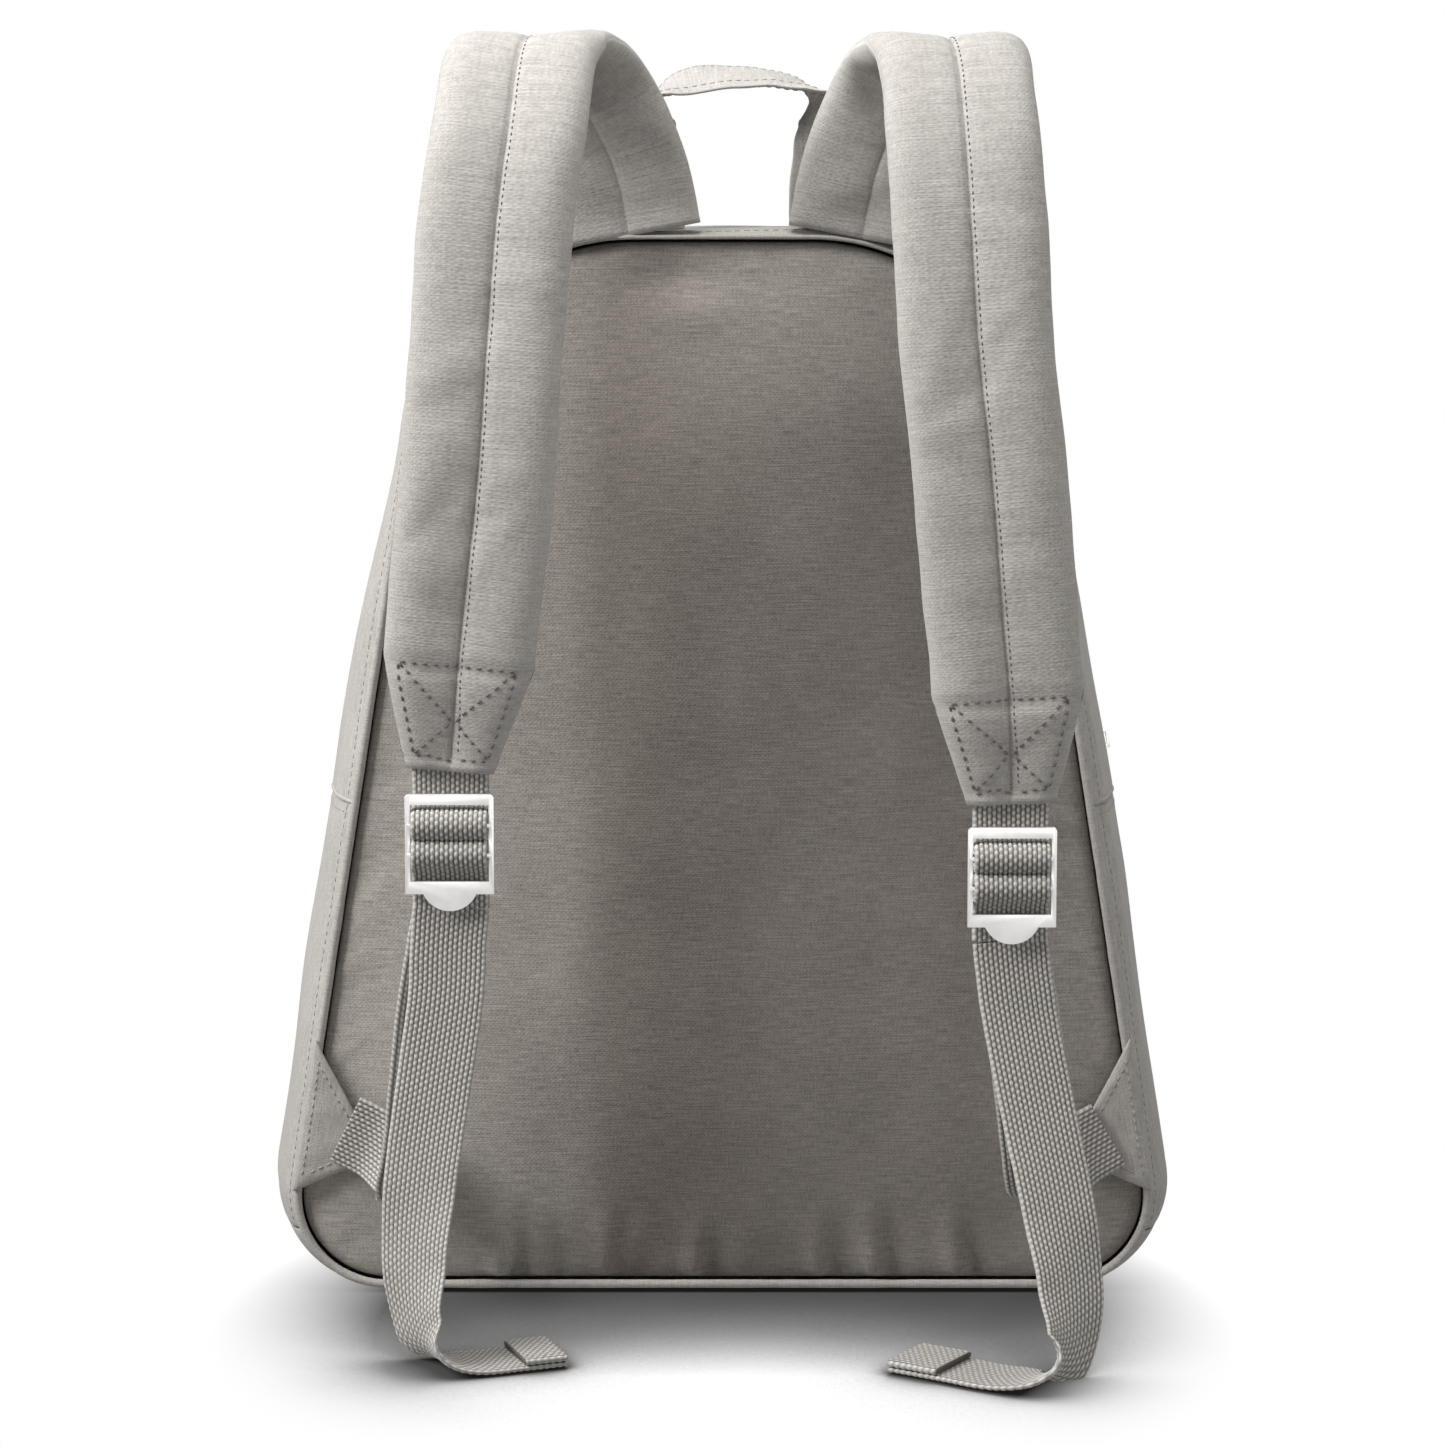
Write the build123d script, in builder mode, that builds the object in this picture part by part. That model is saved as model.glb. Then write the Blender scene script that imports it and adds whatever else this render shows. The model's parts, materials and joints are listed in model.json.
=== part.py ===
from build123d import *
from math import atan2, cos, degrees, radians, sin
import os

os.makedirs("parts", exist_ok=True)

# A fabric daypack, standing on its base. Millimetres, +Z up, origin on the floor
# under the middle of the base. The back panel and its shoulder straps face -Y, the
# front panel and its pocket face +Y. "left" is -X and "right" is +X.

# ---- driving dimensions -------------------------------------------------------
BACK_HEIGHT = 362.0        # seam to seam, up the back panel
BACK_WIDTH = 296.0         # widest point of the back panel, at its foot
HEAD_WIDTH = 180.16        # between the two leaning sides, measured at the top seam
CROWN_RADIUS = 76.0        # upper corners of the outline
FOOT_RADIUS = 30.0         # lower corners of the outline
PACK_DEPTH = 122.0         # back panel seam to front panel seam
SEAM_GROW = 4.0            # how far the walls stand out past the back panel
SIDE_FLARE = 7.0           # how much further they stand out at the two sides
WALL = 3.0                 # lined canvas wall
FOOT_Z = SEAM_GROW         # the outline starts this far above the floor
BASE_TOP_Z = 22.0          # base panel turns up the sides to here
MID_SEAM_Z = 172.0         # side gusset ends and the zipped gusset starts

COVER = 1.2                # single canvas layer of the back panel
BACK_FOAM = 6.0
LINING = 0.8
FIT = 0.3                  # clearance between pieces that move or are soft

ZIP_TAPE = 1.2             # thickness of the tape
ZIP_TAPE_WIDTH = 8.0       # each side of the coil
ZIP_COIL_WIDTH = 4.4       # both halves together
ZIP_COIL_PROUD = 1.4       # height of the coil above the tape
ZIP_LINE = 0.62            # place of the zip, as a share of the depth
ZIP_END_LENGTH = 27.0      # closed length at each lower end of the main zip

POCKET_WIDTH = 196.0
POCKET_FOOT_Z = 20.0
POCKET_HEIGHT = 134.0
POCKET_DEPTH = 20.0
POCKET_ZIP_DROP = 22.0     # zip below the pocket's top edge

STRAP_WIDTH = 50.0
STRAP_THICK = 10.0
STRAP_SKIN = 1.0
STRAP_TIP_WIDTH = 29.0     # narrow end of the stitched trapezoid
WEB_WIDTH = 25.0
WEB_THICK = 1.8
HEM_THICK = 1.8            # folded end of the webbing

BUCKLE_WIDTH = 29.0
BUCKLE_HEIGHT = 33.0
BUCKLE_PLATE = 2.2
BUCKLE_RAIL = 1.7
BUCKLE_TOP_BAR = 3.6
BUCKLE_FOOT_BAR = 4.2
BUCKLE_ROD = 2.6           # diameter of the two middle bars
BUCKLE_TOP_TO_KEEPER = 10.4
BUCKLE_ROD_PITCH = 9.8
TAB_RADIUS = 9.5
TAB_DROP = 5.6

HAUL_WIDTH = 24.0
HAUL_THICK = 1.8

# ---- levels and planes that follow from them ------------------------------------
HEAD_Z = FOOT_Z + BACK_HEIGHT
SIDE_TAPER = (BACK_WIDTH - HEAD_WIDTH) / 2 / BACK_HEIGHT    # lean of each side per mm of height
FRONT_Y = PACK_DEPTH / 2
BACK_Y = -PACK_DEPTH / 2
LINING_Y = BACK_Y + COVER + BACK_FOAM + LINING
ZIP_Y = BACK_Y + ZIP_LINE * PACK_DEPTH
PANEL_Y = FRONT_Y - WALL
LEAN = (1 + SIDE_TAPER ** 2) ** 0.5


def half_width(z, grow=0.0):
    """Half of the outline's width at height z, for the outline grown by grow."""
    foot_half = BACK_WIDTH / 2 + SIDE_TAPER * FOOT_RADIUS
    return foot_half - SIDE_TAPER * (z - FOOT_Z) + grow * LEAN


def rear_plane(y):
    """Upright plane at depth y whose extrusions run towards the back panel."""
    return Plane.XZ.offset(-y)


def outline(grow, flare=0.0):
    """Tapered outline with round corners, drawn on an upright plane; flare widens it."""
    low = FOOT_Z - grow
    high = HEAD_Z + grow
    foot = FOOT_RADIUS + grow
    crown = CROWN_RADIUS + grow
    with BuildSketch(mode=Mode.PRIVATE) as shape:
        with BuildLine():
            FilletPolyline(
                (-half_width(low, grow) - flare, low),
                (-half_width(high, grow) - flare, high),
                (half_width(high, grow) + flare, high),
                (half_width(low, grow) + flare, low),
                radius=[foot, crown, crown, foot],
                close=True,
            )
        make_face()
    return shape.sketch


def slab(y0, y1, grow, flare=0.0, z0=None, z1=None):
    """Panel of the outline's shape between depths y0 and y1, cut to z0..z1."""
    with BuildPart() as piece:
        with BuildSketch(rear_plane(y1)):
            add(outline(grow, flare))
            keep_levels(z0, z1)
        extrude(amount=y1 - y0)
    return piece


def band(y0, y1, outer, inner, z0=None, z1=None, side=0):
    """Wall that follows the outline, between two grown outlines."""
    with BuildPart() as piece:
        with BuildSketch(rear_plane(y1)):
            add(outline(outer, SIDE_FLARE))
            add(outline(inner, SIDE_FLARE), mode=Mode.SUBTRACT)
            keep_levels(z0, z1, side)
        extrude(amount=y1 - y0)
    return piece


def keep_levels(z0, z1, side=0):
    """Cut the open sketch back to a range of heights, and to one side."""
    reach = BACK_WIDTH + BACK_HEIGHT
    low = -reach if z0 is None else z0
    high = reach if z1 is None else z1
    with Locations((side * reach / 2, (low + high) / 2)):
        Rectangle(reach if side else 2 * reach, high - low, mode=Mode.INTERSECT)


def write(piece, node):
    piece.part.label = node
    export_step(piece.part, f"parts/{node}.step")


# ---- back panel: cover, foam and lining, edged by a welt -------------------------
back_panel = slab(BACK_Y, BACK_Y + COVER, 0)
write(back_panel, "back_panel")

back_foam = slab(BACK_Y + COVER, BACK_Y + COVER + BACK_FOAM, -2 * WALL)
write(back_foam, "back_foam")

back_lining = slab(LINING_Y - LINING, LINING_Y, 0)
write(back_lining, "back_lining")

# the side walls turn in here to meet the panel's seam
with BuildPart() as back_welt:
    with BuildSketch(rear_plane(LINING_Y)):
        add(outline(SEAM_GROW - 1, SIDE_FLARE))
        add(outline(0), mode=Mode.SUBTRACT)
    extrude(amount=WALL)
write(back_welt, "back_welt")

# ---- base, sides and the gusset that carries the zip -------------------------------
SHELL = (SEAM_GROW, SEAM_GROW - WALL)
base_panel = band(LINING_Y, PANEL_Y, *SHELL, z1=BASE_TOP_Z)
write(base_panel, "base_panel")

with BuildPart() as base_stiffener:
    stiffener_depth = PANEL_Y - LINING_Y - 2 * WALL
    corner_reach = 1.2 * (FOOT_RADIUS + SEAM_GROW)
    stiffener_half = half_width(FOOT_Z) - corner_reach
    with BuildSketch(Plane.XY.offset(FOOT_Z - SEAM_GROW + WALL)):
        with Locations((0, (PANEL_Y + LINING_Y) / 2)):
            RectangleRounded(2 * stiffener_half, stiffener_depth, 4 * WALL)
    extrude(amount=WALL - 1)
write(base_stiffener, "base_stiffener")

for side, name in ((-1, "left"), (1, "right")):
    gusset = band(LINING_Y, PANEL_Y, *SHELL, z0=BASE_TOP_Z, z1=MID_SEAM_Z, side=side)
    write(gusset, f"side_gusset_{name}")

REAR_TAPE_Y = ZIP_Y - ZIP_COIL_WIDTH / 2 - ZIP_TAPE_WIDTH
FRONT_TAPE_Y = ZIP_Y + ZIP_COIL_WIDTH / 2 + ZIP_TAPE_WIDTH
TAPE = (SEAM_GROW - 0.6, SEAM_GROW - 0.6 - ZIP_TAPE)
COIL = (TAPE[0] + ZIP_COIL_PROUD, TAPE[0])
zip_gusset_rear = band(LINING_Y, REAR_TAPE_Y, *SHELL, z0=MID_SEAM_Z)
write(zip_gusset_rear, "zip_gusset_rear")

zip_tape_rear = band(REAR_TAPE_Y, ZIP_Y, *TAPE, z0=MID_SEAM_Z)
write(zip_tape_rear, "zip_tape_rear")

zip_coil_rear = band(ZIP_Y - ZIP_COIL_WIDTH / 2, ZIP_Y, *COIL, z0=MID_SEAM_Z)
write(zip_coil_rear, "zip_coil_rear")

# below here the two halves of the zip stay closed, at both ends of its run
ZIP_OPEN_Z = MID_SEAM_Z + ZIP_END_LENGTH
for side, name in ((-1, "left"), (1, "right")):
    with BuildPart() as zip_end:
        with BuildSketch(rear_plane(FRONT_TAPE_Y)):
            add(outline(TAPE[0], SIDE_FLARE))
            add(outline(TAPE[1], SIDE_FLARE), mode=Mode.SUBTRACT)
            keep_levels(MID_SEAM_Z, ZIP_OPEN_Z - FIT, side)
        extrude(amount=FRONT_TAPE_Y - ZIP_Y)
        with BuildSketch(rear_plane(ZIP_Y + ZIP_COIL_WIDTH / 2)):
            add(outline(COIL[0], SIDE_FLARE))
            add(outline(COIL[1], SIDE_FLARE), mode=Mode.SUBTRACT)
            keep_levels(MID_SEAM_Z, ZIP_OPEN_Z - FIT, side)
        extrude(amount=ZIP_COIL_WIDTH / 2)
    write(zip_end, f"zip_end_{name}")

front_panel_lower = slab(PANEL_Y, FRONT_Y, SEAM_GROW, SIDE_FLARE, z1=MID_SEAM_Z)
write(front_panel_lower, "front_panel_lower")

# ---- front flap: everything in front of the zip, above the middle seam ---------------
FLAP_Z = MID_SEAM_Z + FIT
front_panel_upper = slab(PANEL_Y, FRONT_Y, SEAM_GROW, SIDE_FLARE, z0=FLAP_Z)
write(front_panel_upper, "front_panel_upper")

zip_gusset_front = band(FRONT_TAPE_Y, PANEL_Y, *SHELL, z0=FLAP_Z)
write(zip_gusset_front, "zip_gusset_front")

zip_tape_front = band(ZIP_Y, FRONT_TAPE_Y, *TAPE, z0=ZIP_OPEN_Z)
write(zip_tape_front, "zip_tape_front")

zip_coil_front = band(ZIP_Y, ZIP_Y + ZIP_COIL_WIDTH / 2, *COIL, z0=ZIP_OPEN_Z)
write(zip_coil_front, "zip_coil_front")


# ---- zip sliders: a saddle over the coil, with a pull hung on its bridge --------------
SLIDER_LENGTH = 9.5
SLIDER_WIDTH = 8.4
SLIDER_PLATE = 1.5
SLIDER_CLEAR = 0.25
BRIDGE_WIDTH = 2.0
BRIDGE_LENGTH = 6.5
BRIDGE_HEIGHT = 3.4
BRIDGE_BAR = 1.0
PULL_LENGTH = 26.0
PULL_WIDTH = 6.6
PULL_THICK = 1.4
PULL_PIVOT = SLIDER_CLEAR + SLIDER_PLATE + (BRIDGE_HEIGHT - BRIDGE_BAR) / 2


def slider_on(plane):
    """Saddle that runs along the plane's x; the plane lies on the coil's crest."""
    flange = (SLIDER_WIDTH - ZIP_COIL_WIDTH) / 2 - SLIDER_CLEAR
    bridge = Plane(plane.origin, x_dir=plane.x_dir, z_dir=-plane.y_dir)
    plate_top = SLIDER_CLEAR + SLIDER_PLATE
    with BuildPart() as saddle:
        with BuildSketch(plane.offset(SLIDER_CLEAR)):
            SlotOverall(SLIDER_LENGTH, SLIDER_WIDTH - 2)
            Rectangle(BRIDGE_LENGTH, SLIDER_WIDTH)
        extrude(amount=SLIDER_PLATE)
        with BuildSketch(plane.offset(SLIDER_CLEAR - ZIP_COIL_PROUD)):
            with GridLocations(0, SLIDER_WIDTH - flange, 1, 2):
                Rectangle(BRIDGE_LENGTH, flange)
        extrude(amount=ZIP_COIL_PROUD)
        with BuildSketch(bridge.offset(-BRIDGE_WIDTH / 2)):
            with Locations((0, plate_top)):
                Rectangle(BRIDGE_LENGTH, BRIDGE_HEIGHT, align=(Align.CENTER, Align.MIN))
                Rectangle(
                    BRIDGE_LENGTH - 2 * BRIDGE_BAR,
                    BRIDGE_HEIGHT - BRIDGE_BAR,
                    align=(Align.CENTER, Align.MIN),
                    mode=Mode.SUBTRACT,
                )
        extrude(amount=BRIDGE_WIDTH)
    return saddle


def pull_on(plane, hang):
    """Flat loop whose end bar lies under the slider's bridge; it lies along the
    plane's x, on the side given by hang."""
    flat = plane.offset(PULL_PIVOT - PULL_THICK / 2)
    post_reach = BRIDGE_LENGTH / 2 + 1.4
    with BuildPart() as pull:
        with BuildSketch(flat):
            with Locations((hang * (PULL_LENGTH - PULL_THICK) / 2, 0)):
                RectangleRounded(PULL_LENGTH, PULL_WIDTH, 1.2)
            with Locations((hang * (PULL_THICK / 2 + post_reach) / 2, 0)):
                Rectangle(post_reach - PULL_THICK / 2, BRIDGE_WIDTH + 2 * FIT, mode=Mode.SUBTRACT)
            with Locations((hang * (PULL_LENGTH - 2 * PULL_WIDTH / 2 - 1), 0)):
                SlotOverall(PULL_WIDTH, PULL_WIDTH / 3, mode=Mode.SUBTRACT)
        extrude(amount=PULL_THICK)
    return pull


# parked on the closed end of the zip, on the right side, its pull hanging down
MAIN_PARK_Z = MID_SEAM_Z + ZIP_END_LENGTH / 2
main_run = Plane(
    origin=(half_width(MAIN_PARK_Z, COIL[0]) + SIDE_FLARE, ZIP_Y, MAIN_PARK_Z),
    x_dir=(-SIDE_TAPER, 0, 1),
    z_dir=(1, 0, SIDE_TAPER),
)
main_slider = slider_on(main_run)
write(main_slider, "main_zip_slider")

main_pull = pull_on(main_run, -1)
write(main_pull, "main_zip_pull")

# ---- front pocket: a gusset, a panel with a zip across it, and a strip above ------------
POCKET_WALL = 2.4
POCKET_RADIUS = 16.0
POCKET_Y = FRONT_Y + POCKET_DEPTH
POCKET_HEAD_Z = POCKET_FOOT_Z + POCKET_HEIGHT
POCKET_ZIP_Z = POCKET_HEAD_Z - POCKET_ZIP_DROP
POCKET_TAPE_HALF = ZIP_TAPE_WIDTH + ZIP_COIL_WIDTH / 2


def pocket_outline(inset=0.0):
    with BuildSketch(mode=Mode.PRIVATE) as shape:
        with Locations((0, (POCKET_FOOT_Z + POCKET_HEAD_Z) / 2)):
            RectangleRounded(
                POCKET_WIDTH - 2 * inset,
                POCKET_HEIGHT - 2 * inset,
                POCKET_RADIUS - inset,
            )
    return shape.sketch


with BuildPart() as pocket_gusset:
    with BuildSketch(rear_plane(POCKET_Y - POCKET_WALL)):
        add(pocket_outline())
        add(pocket_outline(POCKET_WALL), mode=Mode.SUBTRACT)
    extrude(amount=POCKET_DEPTH - POCKET_WALL)
write(pocket_gusset, "pocket_gusset")

pocket_faces = {
    "pocket_panel": (None, POCKET_ZIP_Z - POCKET_TAPE_HALF),
    "pocket_top_strip": (POCKET_ZIP_Z + POCKET_TAPE_HALF, None),
}
for node, levels in pocket_faces.items():
    with BuildPart() as face:
        with BuildSketch(rear_plane(POCKET_Y)):
            add(pocket_outline())
            keep_levels(*levels)
        extrude(amount=POCKET_WALL)
    write(face, node)

with BuildPart() as pocket_zip_tape:
    with BuildSketch(rear_plane(POCKET_Y - (POCKET_WALL - ZIP_TAPE) / 2)):
        with Locations((0, POCKET_ZIP_Z)):
            Rectangle(POCKET_WIDTH, 2 * POCKET_TAPE_HALF)
    extrude(amount=ZIP_TAPE)
write(pocket_zip_tape, "pocket_zip_tape")

POCKET_CREST_Y = POCKET_Y - (POCKET_WALL - ZIP_TAPE) / 2 + ZIP_COIL_PROUD
POCKET_RUN = POCKET_WIDTH - 2 * POCKET_WALL
with BuildPart() as pocket_zip_coil:
    with BuildSketch(rear_plane(POCKET_CREST_Y)):
        with Locations((0, POCKET_ZIP_Z)):
            Rectangle(POCKET_RUN, ZIP_COIL_WIDTH)
    extrude(amount=ZIP_COIL_PROUD)
write(pocket_zip_coil, "pocket_zip_coil")

# parked near the right end, its pull lying back along the zip
pocket_run = Plane(
    origin=(POCKET_RUN / 2 - SLIDER_LENGTH, POCKET_CREST_Y, POCKET_ZIP_Z),
    x_dir=(1, 0, 0),
    z_dir=(0, 1, 0),
)
pocket_slider = slider_on(pocket_run)
write(pocket_slider, "pocket_zip_slider")

pocket_pull = pull_on(pocket_run, -1)
write(pocket_pull, "pocket_zip_pull")

# ---- inner sleeve against the lining: a front sheet with turned-back sides and foot -----
SLEEVE_HEIGHT = 225.0
SLEEVE_HALF = 96.0
SLEEVE_GAP = 12.0
SLEEVE_SHEET = 1.5
SLEEVE_FOOT_Z = FOOT_Z + WALL
with BuildPart() as inner_sleeve:
    with BuildSketch(Plane.XY.offset(SLEEVE_FOOT_Z)):
        with Locations((0, LINING_Y + FIT)):
            Rectangle(2 * SLEEVE_HALF, SLEEVE_GAP, align=(Align.CENTER, Align.MIN))
        with Locations((0, LINING_Y)):
            Rectangle(
                2 * (SLEEVE_HALF - SLEEVE_SHEET),
                SLEEVE_GAP + FIT - SLEEVE_SHEET,
                align=(Align.CENTER, Align.MIN),
                mode=Mode.SUBTRACT,
            )
    extrude(amount=SLEEVE_HEIGHT)
    with BuildSketch(Plane.XY.offset(SLEEVE_FOOT_Z)):
        with Locations((0, LINING_Y + FIT)):
            Rectangle(2 * SLEEVE_HALF, SLEEVE_GAP, align=(Align.CENTER, Align.MIN))
    extrude(amount=SLEEVE_SHEET)
write(inner_sleeve, "inner_sleeve")


# ---- ribbons: straps and webbing as strips lofted through hand-set stations --------------
def stations(points, across):
    """Planes square to a route through points; x lies across the ribbon."""
    planes = []
    for index, point in enumerate(points):
        before = Vector(*points[max(index - 1, 0)])
        after = Vector(*points[min(index + 1, len(points) - 1)])
        along = (after - before).normalized()
        wide = Vector(*across[index])
        wide = (wide - along * wide.dot(along)).normalized()
        planes.append(Plane(origin=point, x_dir=wide, z_dir=along))
    return planes


def ribbon(planes, widths, thicks):
    """Strip built bay by bay between neighbouring stations."""
    sections = list(zip(planes, widths, thicks))
    with BuildPart() as strip:
        for bay in zip(sections, sections[1:]):
            for plane, width, thick in bay:
                with BuildSketch(plane):
                    Rectangle(width, thick)
            loft(ruled=True)
    return strip


# ---- shoulder straps, buckles and webbing --------------------------------------------------
STRAP_ROOT_THICK = STRAP_THICK - 3
STRAP_ROOT_Y = LINING_Y - 0.5 - STRAP_ROOT_THICK / 2
STRAP_ROOT_Z = HEAD_Z + SEAM_GROW - 1 + FIT
ARCH_REACH = 22.0          # the arch's crest, in front of the root
ARCH_RISE = 53.0           # the crest's middle, above the root
STRAP_HANG = 66.0          # how far the strap hangs in front of the back panel
BUCKLE_STEP = 5.8          # webbing runs this far behind the buckle's plate
TAIL_STEP = 3.0            # the free end runs this far behind the plate

# one entry for each side: x of the strap from root to tip, height of its tip, and the
# hand-laid routes of the free end and of the webbing that comes up from the side seam,
# with their middle numbers measured from the back panel
sides = {
    "left": {
        "root_tilt": 0.05,
        "root_drop": -0.3,
        "strap_x": (-32, -34, -40, -52, -62, -69, -73, -77, -80, -83, -86, -89),
        "tip_z": 194,
        "tail": (
            (-91, -69, 118),
            (-95, -72, 90),
            (-99, -76, 61),
            (-101, -81, 35),
            (-99.5, -86.5, 15),
            (-93, -89.5, 4.8),
            (-82, -88, 1.6),
            (-68, -83, 1.6),
            (-55, -78, 1.6),
        ),
        "tail_across": (
            (1, -0.05, 0),
            (1, -0.1, 0),
            (1, -0.2, 0),
            (1, -0.5, 0.1),
            (0.9, -0.9, 0.3),
            (0.4, -1, 0.1),
            (0.35, -1, 0),
            (0.36, -1, 0),
            (0.36, -1, 0),
        ),
        "wing": -1,
        "anchor": (
            (-131, -4.4, 60),
            (-121, -5.6, 55),
            (-112.5, -13, 50),
            (-108, -25, 47),
            (-105, -36, 50),
            (-102, -45, 62),
            (-99, -51.5, 86),
            (-95, -58, 116),
        ),
    },
    "right": {
        "root_tilt": -0.08,
        "root_drop": 0.5,
        "strap_x": (47, 48, 53, 63, 73, 78, 82, 85, 88, 91, 93, 94.5),
        "tip_z": 183,
        "tail": (
            (98.5, -70, 108),
            (104, -76, 80),
            (109.5, -84, 53),
            (113, -93, 29),
            (112, -103, 11.5),
            (104, -109.5, 4),
            (91, -105, 1.6),
            (75, -94.5, 1.6),
            (60, -85, 1.6),
        ),
        "tail_across": (
            (1, 0.05, 0),
            (1, 0.1, 0),
            (1, 0.2, 0),
            (1, 0.5, -0.1),
            (0.9, 0.9, -0.3),
            (0.45, 1, -0.1),
            (0.5, 1, 0),
            (0.55, 1, 0),
            (0.55, 1, 0),
        ),
        "wing": 1,
        "anchor": (
            (134, -4.4, 58),
            (124, -5.6, 52),
            (116, -13, 46),
            (112, -25, 42),
            (109.5, -36, 44),
            (107, -45, 55),
            (104, -51.5, 77),
            (100, -58, 105),
        ),
    },
}
ANCHOR_ACROSS = (
    (0.45, 0, 0.9),
    (0.45, 0, 0.9),
    (0.6, 0.1, 0.8),
    (0.85, 0, 0.5),
    (1, 0, 0.15),
    (1, 0, 0),
    (1, 0, 0),
    (1, 0, 0),
    (1, 0, 0),
)
WING_LOW_Z = 36.0
WING_HIGH_Z = 92.0
WING_APEX_Z = 50.0
WING_REACH = 24.0
WING_THICK = 2.4

for name, side in sides.items():
    tip_z = side["tip_z"]
    hang_y = BACK_Y - STRAP_HANG
    tip_y = hang_y + 2
    root_z = STRAP_ROOT_Z - side["root_drop"]
    shoulder_z = STRAP_ROOT_Z + ARCH_RISE
    hang_z = [shoulder_z - drop for drop in (24, 54, 92, 132)]
    knee_z = tip_z + 62
    profile = (
        (STRAP_ROOT_Y, root_z),
        (STRAP_ROOT_Y - 1, STRAP_ROOT_Z + 0.38 * ARCH_RISE),
        (STRAP_ROOT_Y - 7, STRAP_ROOT_Z + 0.80 * ARCH_RISE),
        (STRAP_ROOT_Y - ARCH_REACH, shoulder_z),
        (STRAP_ROOT_Y - 0.62 * STRAP_HANG, shoulder_z - 3),
        (hang_y + 12, hang_z[0]),
        (hang_y + 4, hang_z[1]),
        (hang_y, hang_z[2]),
        (hang_y - 1, hang_z[3]),
        (hang_y, knee_z),
        (hang_y + 1, tip_z + 35),
        (tip_y, tip_z),
    )
    route = [(x, y, z) for x, (y, z) in zip(side["strap_x"], profile)]
    tilt = side["root_tilt"]
    across = [(1, 0, tilt)] * 2 + [(1, 0, 0)] * (len(route) - 2)
    planes = stations(route, across)
    planes[0] = Plane(origin=route[0], x_dir=(1, 0, tilt), z_dir=(-tilt, 0, 1))
    planes[-1] = Plane(origin=route[-1], x_dir=(1, 0, 0), z_dir=(0, 0, -1))
    full = len(route) - 4
    widths = [STRAP_WIDTH] * (full + 3) + [STRAP_TIP_WIDTH]
    thicks = [STRAP_ROOT_THICK, STRAP_THICK - 1] + [STRAP_THICK] * full
    thicks += [STRAP_THICK - 3, STRAP_THICK / 2]
    foam = ribbon(
        planes[1:-2],
        [width - 4 * STRAP_SKIN for width in widths[1:-2]],
        [thick - 2 * STRAP_SKIN for thick in thicks[1:-2]],
    )
    write(foam, f"strap_foam_{name}")

    cover = ribbon(planes, widths, thicks)
    with BuildPart() as strap_cover:
        add(cover.part)
        add(foam.part, mode=Mode.SUBTRACT)
    write(strap_cover, f"strap_cover_{name}")

    # buckle: a plate with two round middle bars and a thumb tab at its foot
    buckle_x = side["strap_x"][-1]
    buckle_y = tip_y - BUCKLE_STEP
    buckle_top = tip_z - 7
    keeper_z = buckle_top - BUCKLE_TOP_TO_KEEPER
    lower_z = keeper_z - BUCKLE_ROD_PITCH
    foot_z = buckle_top - BUCKLE_HEIGHT
    window = BUCKLE_WIDTH - 2 * BUCKLE_RAIL
    with BuildPart() as buckle_frame:
        with BuildSketch(rear_plane(buckle_y + BUCKLE_PLATE / 2)):
            with Locations((buckle_x, (buckle_top + foot_z) / 2)):
                RectangleRounded(BUCKLE_WIDTH, BUCKLE_HEIGHT, 1.4)
            with Locations((buckle_x, foot_z + BUCKLE_FOOT_BAR)):
                Rectangle(
                    window,
                    BUCKLE_HEIGHT - BUCKLE_TOP_BAR - BUCKLE_FOOT_BAR,
                    align=(Align.CENTER, Align.MIN),
                    mode=Mode.SUBTRACT,
                )
            with Locations((buckle_x, foot_z + TAB_RADIUS - TAB_DROP)):
                Circle(TAB_RADIUS)
                Rectangle(
                    BUCKLE_WIDTH,
                    2 * TAB_RADIUS,
                    align=(Align.CENTER, Align.MIN),
                    mode=Mode.SUBTRACT,
                )
            with Locations((buckle_x, foot_z)):
                Rectangle(BUCKLE_WIDTH, BUCKLE_FOOT_BAR, align=(Align.CENTER, Align.MIN))
            with Locations((buckle_x, (buckle_top + foot_z) / 2)):
                for offset_x in (-1, 1):
                    with Locations((offset_x * (BUCKLE_WIDTH - BUCKLE_RAIL) / 2, 0)):
                        Rectangle(BUCKLE_RAIL, BUCKLE_HEIGHT - 2)
                with Locations((0, (BUCKLE_HEIGHT - BUCKLE_TOP_BAR) / 2)):
                    RectangleRounded(BUCKLE_WIDTH, BUCKLE_TOP_BAR, 1.4)
        extrude(amount=BUCKLE_PLATE)
        for rod_z in (keeper_z, lower_z):
            rod_start = Plane(origin=(buckle_x - window / 2 - 1, buckle_y, rod_z), z_dir=(1, 0, 0))
            with BuildSketch(rod_start):
                Circle(BUCKLE_ROD / 2)
            extrude(amount=window + 2)
    write(buckle_frame, f"buckle_frame_{name}")

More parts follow.
